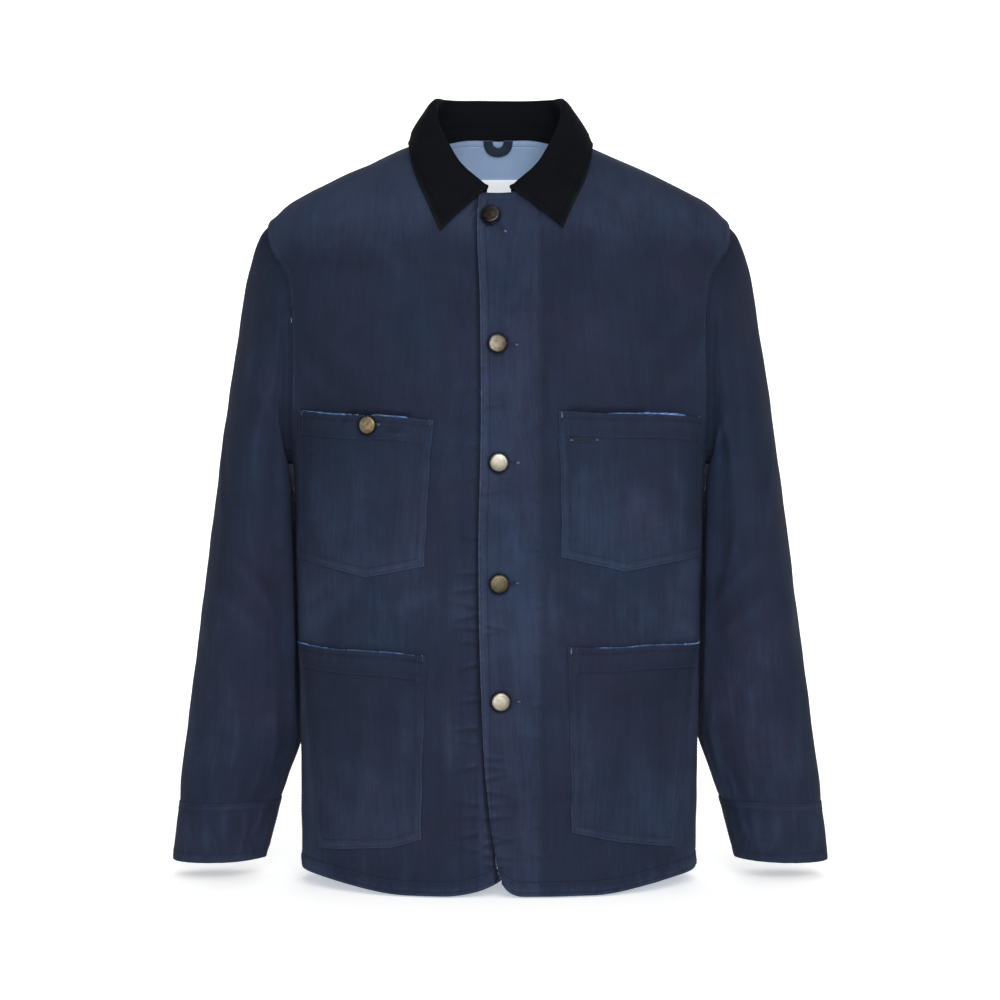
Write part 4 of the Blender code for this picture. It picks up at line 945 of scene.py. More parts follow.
def collar_grids(neck):
    """Stand and leaf: rows up from the neck seam, columns from the wearer's left to the right."""
    run = run_along(neck)
    share = 2 * run / run[-1] - 1
    side = np.where(share < 0, 1.0, -1.0)
    fold_x, fold_y, fold_z, edge_x, edge_y = (
        read(COLLAR, name, np.abs(share)) for name in list(COLLAR)[1:])
    spread = np.where(share < 0, LEAF_SPREAD["left"], LEAF_SPREAD["right"]) * np.abs(share)
    fold = np.stack([side * fold_x, fold_y, fold_z], axis=-1)
    edge = np.stack([side * (edge_x + spread), edge_y, np.full_like(edge_x, -1.0)], axis=-1)
    edge = over_shoulder(edge, LEAF_OVER_BODY)
    seam = neck + (fold - neck) * STAND_SHARE
    stand = through_rows(np.stack([neck, (neck + seam) / 2, seam]), STAND_CELLS)

    rise, outward, up = unit(fold - seam), unit(fold * (1, 1, 0)), np.array([0, 0, 1.0])
    room = FOLD_RADIUS_SHARE * np.linalg.norm(fold - seam, axis=1, keepdims=True)
    radius = np.minimum(FOLD_RADIUS, room)
    rows = [seam, (seam + fold) / 2]
    rows += [fold + (rise * along + outward * out + up * high) * radius
             for along, out, high in FOLD_TURN]
    start = fold + outward * radius * FALL_STARTS
    for part in FALL_SHARES:
        bulge = outward * LEAF_BULGE * math.sin(math.pi * part)
        rows.append(over_shoulder(start + (edge - start) * part + bulge, LEAF_OVER_BODY))
    leaf = through_rows(np.stack(rows), LEAF_CELLS)
    falling = np.linspace(0, 1, LEAF_CELLS + 1)[:, None, None] > LEAF_OVER_FROM
    return stand, np.where(falling, over_shoulder(leaf, LEAF_OVER_BODY), leaf)


def sewn_grids():
    """Outer grids of all the pieces that are sewn edge to edge, rows upwards."""
    left, right, back = front_grid("left"), front_grid("right"), back_grid()
    grids = {"front_left": left, "front_right": right[:, ::-1], "back": back[:, ::-1]}
    first, last = UNDER_SLEEVE_CELLS
    for side, front, seam in (("left", left, back[:, -1]), ("right", right, back[:, 0])):
        edges = [front[BODY_CELLS:, -1][::-1], seam[BODY_CELLS + 1:]]
        sleeve = sleeve_grid(side, np.concatenate(edges) * (SIDES[side], 1, 1))
        top = np.concatenate([sleeve[:, last:-1], sleeve[:, :first + 1]], axis=1)
        grids[f"sleeve_{side}_top"] = top[::-1, ::-SIDES[side]]
        grids[f"sleeve_{side}_under"] = sleeve[::-1, first:last + 1][:, ::-SIDES[side]]
        grids[f"cuff_{side}"] = cuff_grid(side)[::-1, ::SIDES[side]]
    collar = slice(LAP_CELLS, LAP_CELLS + NECKLINE_CELLS)
    middle = back.shape[1] // 2
    back_neck = back[-1, middle - BACK_NECK_HALF_CELLS:middle + BACK_NECK_HALF_CELLS + 1]
    neck = np.concatenate([left[-1, collar], back_neck[::-1], right[-1, collar][::-1]])
    grids["collar_stand"], grids["collar_leaf"] = collar_grids(neck)
    return grids


# ---------------------------------------------------------------- creases, puckers and seams

def fold_rise(points):
    """Height of the broad folds at each point: a soft ridge or trough along each fold's line."""
    rise = np.zeros(points.shape[:-1])
    for *ends, half_width, height in zip(*FOLDS.values()):
        start, line = np.array(ends[:3]), np.array(ends[3:]) - ends[:3]
        share = np.clip((points - start) @ line / (line @ line), 0, 1)
        away = np.linalg.norm(points - start - share[..., None] * line, axis=-1)
        taper = FOLD_END_SHARE + (1 - FOLD_END_SHARE) * np.sin(math.pi * share)
        rise = rise + height * taper * bell(away, half_width)
    return rise


def crease_rise(a, b, rows):
    """Height of listed creases at places (a, b).

    Along the straight line between a crease's ends the height grows and fades as a half sine, and
    the line bows sideways by its bend in its middle. Across it the height is a bell curve, with a
    wider and lower trough on one side.
    """
    rise = np.zeros(np.shape(a))
    for a0, b0, a1, b1, bend, half_width, height in rows:
        run_a, run_b = a1 - a0, b1 - b0
        length = math.hypot(run_a, run_b)
        share = np.clip(((a - a0) * run_a + (b - b0) * run_b) / length ** 2, 0, 1)
        side = ((a - a0) * run_b - (b - b0) * run_a) / length - 4 * bend * share * (1 - share)
        trough = bell(side - 1.9 * half_width, 1.4 * half_width)
        wave = bell(side, half_width) - 0.4 * trough
        rise = rise + height * np.sin(math.pi * share) ** 0.8 * wave
    return rise


def flat_creases(points, creases):
    """Creases of the body, placed as seen from the front."""
    return crease_rise(points[..., 0], points[..., 2], zip(*creases.values()))


def ring_creases(creases, radius_at, turns, angle, along):
    """Creases of a sleeve or a cuff, whose angles are made lengths at each crease's own radius."""
    rise = np.zeros(along.shape)
    for turn in turns:
        for angle0, along0, angle1, along1, *form in zip(*creases.values()):
            radius = radius_at((along0 + along1) / 2)
            ends = [math.radians(end + turn) * radius for end in (angle0, angle1)]
            row = (ends[0], along0, ends[1], along1, *form)
            rise = rise + crease_rise(np.radians(angle) * radius, along, [row])
    return rise


def unevenness(points):
    """Slight waviness that all worn cloth has: three crossing sine waves, none above 0.3 mm."""
    x, y, z = np.moveaxis(points, -1, 0)
    tau = 2 * math.pi
    upright = np.sin(tau * (x / 0.061 + y / 0.083) + 1.3 * np.sin(tau * z / 0.21))
    level = np.sin(tau * z / 0.083 + 1.1 * np.sin(tau * (x + y) / 0.13))
    slanting = np.sin(tau * (0.8 * x + z) / 0.039 + 0.9 * np.sin(tau * x / 0.11))
    return 0.00028 * upright + 0.00022 * level + 0.00012 * slanting


def pucker_rise(points):
    """Puckers where stitches draw the cloth in, and the grooves of the two facings' stitch lines.

    Each pucker is a level trough with a low ridge over it, full at its line and fading one way.
    """
    across, height = points[..., 0], points[..., 2]
    rise = np.zeros(across.shape)
    for line, way, reach, puckers in PUCKER_LINES.values():
        run = (across - line) * way / reach
        along = smoothstep((run + 0.25) / 0.25) * np.exp(-np.clip(run, 0, None) ** 1.5)
        for number, (middle, strength) in enumerate(zip(*puckers.values())):
            slant = 0.24 * math.sin(2.4 * number) * run * reach
            off = (height - middle - slant) / PUCKER_HALF_HEIGHT
            rise = rise + strength * PUCKER_RISE * along * (0.5 * bell(off - 1.5, 1) - bell(off, 1))
    depth, half_width = FACING_GROOVE
    for line, share in ((PUCKER_LINES["facing"][0], 1.0), (UNDER_FACING_LINE, 0.4)):
        rise = rise - share * depth * bell(across - line, half_width) * (height < -0.06)
    return rise


def around_buttons(points, reach):
    """1 beside each button, fading to 0 between two distances from it given in its own radii."""
    share = np.zeros(points.shape[:-1])
    near, far = reach
    for name, (_, radius, *_) in BUTTONS.items():
        middle = np.mean(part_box(name), axis=0)
        away = np.hypot(points[..., 0] - middle[0] - SHADE_ASIDE[0],
                        points[..., 2] - middle[2] - SHADE_ASIDE[1])
        share = np.maximum(share, smoothstep((far * radius - away) / ((far - near) * radius)))
    return share


def wear_and_painted_shade(rise, fade):
    """How much paler creased cloth rubs on its ridges, and how much painted shade darkens its
    troughs: a smooth step that follows the creases' height.
    """
    amount, full_height = fade
    return amount * np.tanh(rise / full_height)


def body_relief(points, face):
    """Height of everything that crosses a body panel: broad folds, creases, puckers, waviness."""
    rise = fold_rise(points) + unevenness(points)
    if face < 0:
        return rise + flat_creases(points, BACK_CREASES)
    rise = rise + flat_creases(points, FRONT_CREASES) + pucker_rise(points)
    return rise - BUTTON_HOLLOW * around_buttons(points, HOLLOW_REACH)


def body_point(across, height, face):
    """Point of the outer cloth and the way out of it, at a place seen from the front."""
    def base_at(x, z):
        place = seen_from_front(x, z, face)
        return torso(place[..., 0], place[..., 1], face)
    step = 0.0002
    base = base_at(across, height)
    right = base_at(across + step, height) - base_at(across - step, height)
    up = base_at(across, height + step) - base_at(across, height - step)
    out = face * unit(np.cross(right, up))
    return base + out * body_relief(base, face)[..., None], out


def inwards(grid, edge):
    """The grid turned so that its first row is an edge: b(ottom), t(op), i(nner) or o(uter)."""
    turned = grid if edge in "bt" else np.swapaxes(grid, 0, 1)
    return turned[::-1] if edge in "to" else turned


def distance_from(grid, edge):
    """Distance of each point from an edge of its grid, along the grid's own lines."""
    turned = inwards(grid, edge)
    step = np.linalg.norm(np.diff(turned, axis=0), axis=-1)
    run = np.concatenate([np.zeros((1, turned.shape[1])), np.cumsum(step, axis=0)])
    run = run[::-1] if edge in "to" else run
    return run if edge in "bt" else run.T


def distances(grid):
    """Distance of each point from its grid's bottom, its top and the nearer of its sides."""
    bottom, top, inner, outer = (distance_from(grid, edge) for edge in "btio")
    return bottom, top, np.minimum(inner, outer)


def inset_line(grid, edge, distance):
    """Points that lie a distance inside an edge, one on each line of the grid that meets it."""
    turned = inwards(grid, edge)
    run = inwards(distance_from(grid, edge), edge)
    number = np.arange(turned.shape[1])
    after = np.clip((run < distance).sum(axis=0), 1, len(turned) - 1)
    low, high = run[after - 1, number], run[after, number]
    share = ((distance - low) / (high - low))[:, None]
    return between(turned[after - 1, number], turned[after, number], share)


def felled(distance):
    """Ridge of a felled seam: full from its edge to the second line of stitches, then gone."""
    first, second = STITCH_LINES
    return smoothstep((second + 0.0022 - distance) / 0.0040) * smoothstep(distance / first)


def roping(grid, edge, distance):
    """Slanting ripples of a stitched band: a sine along the edge that leans as it goes inwards."""
    run = run_along(inwards(grid, edge)[0])
    along = run[None] if edge in "bt" else run[:, None]
    phase = (along + 0.55 * distance) / ROPING_LENGTH + 0.35 * np.sin(along / 0.021)
    fade = smoothstep(distance / 0.002) * smoothstep((HEM_BAND + 0.003 - distance) / 0.005)
    return ROPING_RISE * np.sin(2 * math.pi * phase) * fade


# ---------------------------------------------------------------- meshes

def mesh_of(name, vertices, faces):
    """Smooth mesh from arrays of points and of faces that all have as many corners."""
    mesh = bpy.data.meshes.new(name)
    mesh.vertices.add(len(vertices))
    mesh.vertices.foreach_set("co", np.asarray(vertices, dtype=np.float32).ravel())
    mesh.loops.add(faces.size)
    mesh.loops.foreach_set("vertex_index", faces.astype(np.int32).ravel())
    mesh.polygons.add(len(faces))
    starts = np.arange(0, faces.size, faces.shape[1], dtype=np.int32)
    mesh.polygons.foreach_set("loop_start", starts)
    mesh.update(calc_edges=True)
    mesh.validate()
    mesh.shade_smooth()
    return mesh


def grid_faces(rows, cols, closed=False):
    """Quads of a grid, facing the way that columns crossed with rows point."""
    number = np.arange(rows * cols).reshape(rows, cols)
    if closed:
        number = np.concatenate([number, number[:, :1]], axis=1)
    corners = [number[:-1, :-1], number[:-1, 1:], number[1:, 1:], number[1:, :-1]]
    return np.stack(corners, axis=-1).reshape(-1, 4)


def carry(mesh, name, values):
    """Let a mesh's vertices carry a number for its material."""
    field = mesh.attributes.new(name, "FLOAT", "POINT")
    field.data.foreach_set("value", values.astype(np.float32).ravel())


def place_piece(name, mesh, materials, nodes=()):
    """Put a mesh into the scene as a piece that rides on the jacket."""
    piece = bpy.data.objects.new(name, mesh)
    bpy.context.scene.collection.objects.link(piece)
    for material in materials:
        piece.data.materials.append(MATERIALS[material])
    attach(piece, "root")
    if nodes:
        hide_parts(*nodes)
    return piece


def cloth_piece(node_name, grid, thickness, materials,
                edge=UNEDGED, tone=0.0, wear=0.0):
    """Sheet of cloth on a grid of outer points, thickened inwards, with soft edges.

    Its vertices carry how far they are from the nearest finished edge in millimetres (`edge`), how
    much darker or paler the cloth is there (`tone`) and how rubbed it is (`wear`). The area of its
    cut is worked out from its flat size and the grid's own area, and not used further.
    """
    rows, cols = grid.shape[:2]
    faces = grid_faces(rows, cols)
    name = node_name + "_cloth"
    mesh = mesh_of(name, grid.reshape(-1, 3), faces)
    across = distance_from(grid, "i")
    uv = np.stack([across - across[:, cols // 2][:, None], distance_from(grid, "b")], axis=-1)
    layer = mesh.uv_layers.new(name="UVMap")
    corners = uv.reshape(-1, 2)[faces.ravel()]
    layer.data.foreach_set("uv", corners.astype(np.float32).ravel())
    for key, value in (("edge", 1000 * edge), ("tone", tone), ("wear", wear)):
        carry(mesh, key, np.broadcast_to(value, (rows, cols)))
    piece = place_piece(name, mesh, materials, (node_name,))
    solid = piece.modifiers.new("thickness", "SOLIDIFY")
    solid.thickness = thickness
    solid.offset = -1.0
    if len(materials) > 1:
        solid.material_offset = 1
    round_off = piece.modifiers.new("soft edges", "BEVEL")
    round_off.width = min(BEVEL, thickness * 0.3)
    round_off.segments = 2
    round_off.limit_method = "ANGLE"
    round_off.angle_limit = math.radians(60)
    width, length = CUTS[node_name]
    area = sum(face.area for face in mesh.polygons)
    area = min(max(area, LEAST_CUT_SHARE * width * length), width * length)


def bars(starts, ends, ups, radius):
    """Vertices and triangles of many short threads.

    Each is a spindle: a tip sunk into the cloth at either end, and two rings of four points at a
    sixth of its length from them.
    """
    along = ends - starts
    side = unit(np.cross(along, ups)) * radius
    rise = unit(ups) * radius
    rings = [starts + along * share + way
             for share in (1 / 6, 5 / 6) for way in (side, rise, -side, -rise)]
    points = np.stack([starts - rise * 0.6, ends - rise * 0.6, *rings], axis=1)
    first, last = 2 + np.arange(4), 6 + np.arange(4)
    after_first, after_last = np.roll(first, -1), np.roll(last, -1)
    triangles = np.concatenate([
        np.stack([np.zeros(4, int), first, after_first], axis=-1),
        np.stack([first, last, after_last], axis=-1),
        np.stack([first, after_last, after_first], axis=-1),
        np.stack([np.ones(4, int), after_last, last], axis=-1),
    ])
    faces = triangles[None] + (np.arange(len(starts)) * 10)[:, None, None]
    return points.reshape(-1, 3), faces.reshape(-1, 3)


def stitch_line(points, normals):
    """Running stitches along a line on the cloth: their starts, ends and ways up."""
    run = run_along(points)
    count = max(int(run[-1] / STITCH_PITCH), 1)
    middle = (np.arange(count) + 0.5) * run[-1] / count
    up = unit(sample(middle, run, normals))
    lift = up * (THREAD_RADIUS * 0.35)
    ends = [sample(middle + half, run, points) + lift
            for half in (-STITCH_LENGTH / 2, STITCH_LENGTH / 2)]
    return np.stack([*ends, up], axis=1)


def thread_piece(name, stitches, radius, material):
    """One piece from many stitches, each given as (start, end, up)."""
    rows = np.concatenate(stitches)
    points, faces = bars(rows[:, 0], rows[:, 1], rows[:, 2], radius)
    place_piece(name, mesh_of(name, points, faces), (material,))


# ---------------------------------------------------------------- materials

def linear(hex_colour):
    """sRGB hex colour as linear red, green, blue and alpha."""
    parts = [int(hex_colour[i:i + 2], 16) / 255 for i in (1, 3, 5)]
    return (*[c / 12.92 if c <= 0.04045 else ((c + 0.055) / 1.055) ** 2.4 for c in parts], 1.0)


def node(tree, kind, inputs=None, stops=None, **settings):
    """Add a node, set its properties, and give each named input a value or a link.

    The stops of a colour ramp are their places from 0 to 1 and a text of as many hex colours.
    """
    made = tree.nodes.new("ShaderNode" + kind)
    for key, value in settings.items():
        setattr(made, key, value)
    for key, value in (inputs or {}).items():
        if isinstance(value, bpy.types.NodeSocket):
            tree.links.new(value, made.inputs[key])
        else:
            made.inputs[key].default_value = value
    if stops:
        places, colours = stops
        elements = made.color_ramp.elements
        while len(elements) < len(places):
            elements.new(0.5)
        for element, place, colour in zip(elements, places, colours.split()):
            element.position = place
            element.color = linear(colour)
    return made


def new_material(name):
    """Empty material's tree, its Object and UV coordinates, and what its vertices carry by name."""
    MATERIALS[name] = made = bpy.data.materials.new(name)
    made.use_nodes = True
    coords = node(made.node_tree, "TexCoord").outputs

    def carried(attribute_name):
        return node(made.node_tree, "Attribute", attribute_name=attribute_name).outputs["Fac"]
    return made.node_tree, coords["Object"], coords["UV"], carried


def total(tree, terms):
    """Sum of (socket, factor) terms, or of plain numbers."""
    result = None
    for term in terms:
        socket, factor = term if isinstance(term, tuple) else (None, term)
        inputs = {0: socket if socket else 1.0, 1: factor, 2: result if result else 0.0}
        result = node(tree, "Math", inputs, operation="MULTIPLY_ADD").outputs[0]
    return result


def clouded(tree, vector, scale, detail=2.0, roughness=0.5):
    """Cloudy pattern about zero, between about -0.5 and 0.5, with `scale` clouds to the metre."""
    made = node(tree, "TexNoise", {"Vector": vector, "Scale": scale, "Detail": detail,
                                   "Roughness": roughness})
    return node(tree, "Math", {0: made.outputs["Fac"], 1: 0.5}, operation="SUBTRACT").outputs[0]


def line_at(tree, value, place, half_width):
    """1 where a value is at a place, fading to 0 at a half width from it."""
    away = node(tree, "Math", {0: value, 1: place}, operation="SUBTRACT").outputs[0]
    away = node(tree, "Math", {0: away}, operation="ABSOLUTE").outputs[0]
    return node(tree, "MapRange", {"Value": away, "From Min": half_width, "From Max": 0.0},
                interpolation_type="SMOOTHSTEP").outputs["Result"]


def finish(tree, colour, height, values, rough=None):
    """Join colour and relief in millimetres to the shader, and set what is the same all over."""
    inputs = tree.nodes["Principled BSDF"].inputs
    relief = node(tree, "Bump", {"Height": height, "Strength": 1.0, "Distance": 0.001})
    tree.links.new(colour, inputs["Base Color"])
    tree.links.new(relief.outputs[0], inputs["Normal"])
    if rough:
        tree.links.new(rough, inputs["Roughness"])
    for name, value in values.items():
        inputs[name].default_value = value


def washed_twill(name, places, violet, blue, slubs, sheen):
    """Garment-dyed cotton twill, woven with slubby yarn and washed.

    It gives the eye a dull, even depth of colour that is a little cloudy and turns here more to
    violet and there more to blue, with faint upright streaks where a thicker warp yarn took less
    dye, and slightly paler cloth beside each stitched edge.
    """
    tree, place, uv, carried = new_material(name)

    def yarns(across, along, detail=2.0):
        """Cloudy streaks, so many to the metre across the cloth and along it."""
        scaled = node(tree, "Mapping", {"Vector": uv, "Scale": (across, along, 1.0)}).outputs[0]
        return clouded(tree, scaled, 1.0, detail)
    edge, wear = carried("edge"), carried("wear")
    clouds, patches = clouded(tree, place, 15.0, 3.0, 0.55), clouded(tree, place, 52.0)
    streaks, warp, weft = yarns(210.0, 13.0), yarns(620.0, 40.0), yarns(40.0, 700.0)
    grain = yarns(1100.0, 1100.0, 1.0)
    uneven = total(tree, [0.8, (clouded(tree, place, 170.0), 1.8)])
    first, second = (line_at(tree, edge, 1000 * line, 0.9) for line in STITCH_LINES)
    rim, worn, band = (
        node(tree, "Math", {0: value, 1: uneven}, operation="MULTIPLY").outputs[0]
        for value in (line_at(tree, edge, 0.0, 1.2), wear, line_at(tree, edge, 3.2, 5.5)))
    # The stitch lines are darker, as painted shade in their grooves
    fade = total(tree, [0.34, (carried("tone"), 1.0), (clouds, 0.20), (patches, 0.08),
                        (streaks, 0.10 * slubs), (warp, 0.09 * slubs), (weft, 0.05 * slubs),
                        (grain, 0.05), (rim, 0.05), (worn, 0.30), (band, 0.045),
                        (first, -0.060), (second, -0.055)])
    hue = total(tree, [0.58, (clouded(tree, place, 11.0), 1.5),
                       (clouded(tree, place, 60.0, 1.0), 0.5)])
    violet, blue = (node(tree, "ValToRGB", {"Fac": fade}, (places, colours)).outputs["Color"]
                    for colours in (violet, blue))
    colour = node(tree, "Mix", {"Factor": hue, "A": violet, "B": blue}, data_type="RGBA",
                  clamp_factor=True)
    slanted = node(tree, "Mapping", {"Vector": uv, "Rotation": (0.0, 0.0, math.radians(27.0))})
    twill = node(tree, "TexWave", {"Vector": slanted.outputs[0],
                                   "Scale": WAVE_LENGTH / TWILL_SPACING})
    height = total(tree, [(twill.outputs["Fac"], 0.05),
                          (warp, 0.10 * slubs), (weft, 0.06 * slubs), (grain, 0.09),
                          (first, -0.28), (second, -0.26), (patches, 0.20)])
    finish(tree, colour.outputs["Result"], height, {
        "Roughness": 0.88, "Specular IOR Level": 0.07, "Sheen Weight": sheen,
        "Sheen Roughness": 0.5, "Sheen Tint": linear("#8a93ad")})


def needlecord():
    """Cotton needlecord dyed black: fine cut-pile ribs across the collar.

    The pile swallows light, so the collar is the darkest thing on the jacket, and its ribs and its
    rubbed fold and edges show only as a faint grey.
    """
    tree, place, uv, carried = new_material("black_needlecord")
    edge = carried("edge")
    cord = node(tree, "TexWave", {"Vector": uv, "Scale": WAVE_LENGTH / WALE_SPACING})
    wales, pile = cord.outputs["Fac"], clouded(tree, place, 700.0)
    stitched = line_at(tree, edge, 1000 * COLLAR_STITCH, 0.8)
    rub = node(tree, "MapRange", {"Value": edge, "From Min": 1.8, "From Max": 0.0}).outputs[0]
    # The stitch line is darker, as painted shade in its groove
    fade = total(tree, [0.24, (wales, 0.05), (pile, 0.10), (clouded(tree, place, 40.0, 3.0), 0.24),
                        (rub, 0.10), (carried("wear"), 0.5), (stitched, -0.10)])
    height = total(tree, [(wales, 0.07), (pile, 0.12), (stitched, -0.35)])
    shades = (0.0, 0.35, 1.0), "#050609 #0e0f13 #303338"
    colour = node(tree, "ValToRGB", {"Fac": fade}, shades)
    finish(tree, colour.outputs["Color"], height, {
        "Roughness": 0.95, "Specular IOR Level": 0.04, "Sheen Weight": 0.04,
        "Sheen Roughness": 0.4, "Sheen Tint": linear("#555a66")})


def tape(name, colours, roughness, ribs, glow=None):
    """Woven tape: close ribs across it, which catch the light as fine lines."""
    tree, place, uv, _ = new_material(name)
    weave = node(tree, "TexWave", {"Vector": uv, "Scale": WAVE_LENGTH / ribs},
                 bands_direction="Y").outputs["Fac"]
    threads = clouded(tree, place, 900.0)
    fade = total(tree, [0.3, (weave, 0.4), (threads, 0.5)])
    height = total(tree, [(weave, 0.08), (threads, 0.08)])
    colour = node(tree, "ValToRGB", {"Fac": fade}, ((0.0, 0.5, 1.0), colours))
    finish(tree, colour.outputs["Color"], height, {"Roughness": roughness, **(glow or {})})


def spun_thread(name, colours, middle=0.5):
    """Spun cotton thread: matt, a little hairy, no two stitches quite the same shade."""
    tree, place, _, _ = new_material(name)
    twist = clouded(tree, place, 2600.0, 1.0)
    fade = total(tree, [0.5, (clouded(tree, place, 180.0, 1.0), 1.1), (twist, 0.5)])
    colour = node(tree, "ValToRGB", {"Fac": fade}, ((0.0, middle, 1.0), colours))
    finish(tree, colour.outputs["Color"], total(tree, [(twist, 0.12)]), {"Roughness": 0.85})


def plated_metal(name, colours, roughness):
    """Stamped and plated button cap, tumbled to look old: dull and dark in its hollows, with faint
    rubbed patches. Its rim and dome are bright on one side and dark on the other as a painted
    highlight, and painted shade darkens its outer roll."""
    tree, place, _, carried = new_material(name)
    patina, specks = clouded(tree, place, 240.0, 4.0, 0.6), clouded(tree, place, 1500.0)
    patina_and_highlight = carried("patina_and_highlight")
    fade = total(tree, [0.62, (patina, 0.9), (specks, 0.25), (patina_and_highlight, -0.22)])
    rough = total(tree, [roughness, (patina, 0.25), (patina_and_highlight, 0.10)])
    height = total(tree, [(patina, 0.05), (specks, 0.03)])
    colour = node(tree, "ValToRGB", {"Fac": fade}, ((0.0, 0.35, 0.7, 1.0), colours))
    finish(tree, colour.outputs["Color"], height, {"Metallic": 1.0}, rough)


def make_materials():
    """Every finish of the jacket."""
    washed_twill(TWILL[0], (0.0, 0.25, 0.40, 0.60, 0.80, 1.0),
                 "#0d0e16 #181926 #212233 #313549 #4f5671 #8795b3",
                 "#0b0f18 #131b28 #1a2434 #2a394f #49617d #829cbd", 1.0, 0.025)
    washed_twill(TWILL[1], (0.0, 0.30, 0.50, 0.75, 1.0),
                 "#8093b4 #96a9c9 #a3b5d3 #b6c6df #cdd8ea",
                 "#7692b5 #8daaca #9ab6d5 #afc7e0 #c8d9ea", 1.2, 0.03)
    needlecord()
    tape("dark_tape", "#111722 #1f2a3d #35445c", 0.8, 0.0009)
    # The label glows a little of itself, as painted light
    tape("white_label_tape", "#e2e6ea #f0f2f4 #fafafa", 0.6, 0.0006,
         {"Emission Color": linear("#ffffff"), "Emission Strength": LABEL_PAINTED_GLOW})
    spun_thread("navy_thread", "#0e1424 #182034 #26314b")
    spun_thread("black_thread", "#07080a #101216 #24272d")
    spun_thread("frayed_yarn", "#2b4468 #44679a #83a5d4", 0.45)
    spun_thread("pale_thread", "#2c3c56 #4b5e7c #8a9bb4")
    plated_metal("dark_bronze", "#110f0f #262220 #433c38 #6f6961", 0.50)
    plated_metal("aged_brass", "#2a231c #50483d #706a60 #969390", 0.52)
    plated_metal("old_bronze", "#221d14 #3d382b #56503f #7a735c", 0.55)
    plated_metal("yellow_brass", "#3a2f19 #64573e #8c7e64 #c7bfad", 0.50)
    plated_metal("dull_nickel", "#3f3a31 #6e685c #908b80 #b6b4ae", 0.50)
    # Seamless paper: matt white, and a little bright of itself
    paper = new_material("white_paper")[0].nodes["Principled BSDF"].inputs
    for name, value in {"Base Color": linear("#fbfbfb"), "Emission Color": linear("#ffffff"),
                        "Emission Strength": PAPER_GLOW, "Roughness": 1.0,
                        "Specular IOR Level": 0.0}.items():
        paper[name].default_value = value


# ---------------------------------------------------------------- the sewn pieces

def mouth_shade(points):
    """1 where painted shadow lies on the cloth just above a chest pocket's standing mouth, fading
    to 0 round it.
    """
    share = np.zeros(points.shape[:-1])
    for name, begin, end in MOUTH_SHADES:
        mouth = pocket_plan(name)[-1]
        along = (points[..., 0] - mouth[0, 0]) / (mouth[-1, 0] - mouth[0, 0])
        above = points[..., 2] - np.interp(points[..., 0], mouth[:, 0], mouth[:, 1])
        share = share + stretch(along, begin, end, 0.06) * bell(above - 0.0018, 0.0024)
    return share


def stretch(along, begin, end, soft):
    """1 between two places along a line, with soft ends inside them."""
    return smoothstep((along - begin) / soft) * smoothstep((end - along) / soft)


def front_tone(points):
    """How much paler or darker each place on a front is.

    It is paler down the centre, at the shoulders and at the waist, with painted light where the
    cloth turns aside, and painted shade round the buttons and over the standing mouths.
    """
    across, height = points[..., 0], points[..., 2]
    band = smoothstep((across + 0.021) / 0.003) * smoothstep((0.043 - across) / 0.003)
    under = smoothstep((across + 0.052) / 0.006) * smoothstep((-0.021 - across) / 0.003)
    high = smoothstep((height + 0.46) / 0.16)
    shoulder = smoothstep((height + 0.125) / 0.06)
    # Painted light where the cloth turns to the side
    aside = smoothstep((np.abs(grid_normals(points)[..., 0]) - 0.60) / 0.35)
    tone = 0.030 + band * (0.070 + 0.03 * high) + 0.02 * under + 0.04 * bell(height + 0.46, 0.06)
    tone = tone + (0.145 - 0.025 * np.tanh(across / 0.05)) * shoulder * (1 - band) - 0.02 * high
    tone = tone + 0.13 * aside + wear_and_painted_shade(pucker_rise(points), PUCKER_WEAR_AND_SHADE)
    # Painted shade over the standing mouths and round the buttons
    tone = tone - 0.20 * mouth_shade(points) - 0.34 * around_buttons(points, SHADE_REACH)
    return tone + wear_and_painted_shade(flat_creases(points, FRONT_CREASES), CREASE_WEAR_AND_SHADE)


def evened(front, centre):
    """A front whose columns beside its centre edge stand evenly apart where its corner is rounded.

    There they are also kept inside the edge's own line, a little further in column by column.
    """
    cells = LAP_CELLS + NECKLINE_CELLS
    field = (front if centre == "i" else front[:, ::-1]).copy()
    for row in field:
        run = run_along(row[:cells + 1])
        low = smoothstep((EVENED_FROM - row[0, 2]) / EVENED_OVER)
        at = between(run, np.linspace(0, run[-1], cells + 1), low)
        row[:cells + 1] = sample(at, run, row[:cells + 1])
    near, edge = field[:, :cells + 1], field[:, 0].copy()
    way = np.sign(field[0, -1, 0] - field[0, 0, 0])
    slope = np.divide(*(edge[SLOPE_ROWS] - edge[0])[::2])
    line = np.interp(near[..., 2], edge[:, 2], edge[:, 0])
    line = line + slope * np.minimum(near[..., 2] - edge[0, 2], 0)
    least = line + way * INSIDE_STEP * np.minimum(np.arange(cells + 1), INSIDE_COLUMNS)
    inside = way * np.maximum(way * near[..., 0], way * least)
    near[..., 0] = np.where(near[..., 2] < INSIDE_BELOW, inside, near[..., 0])
    return field if centre == "i" else field[:, ::-1]


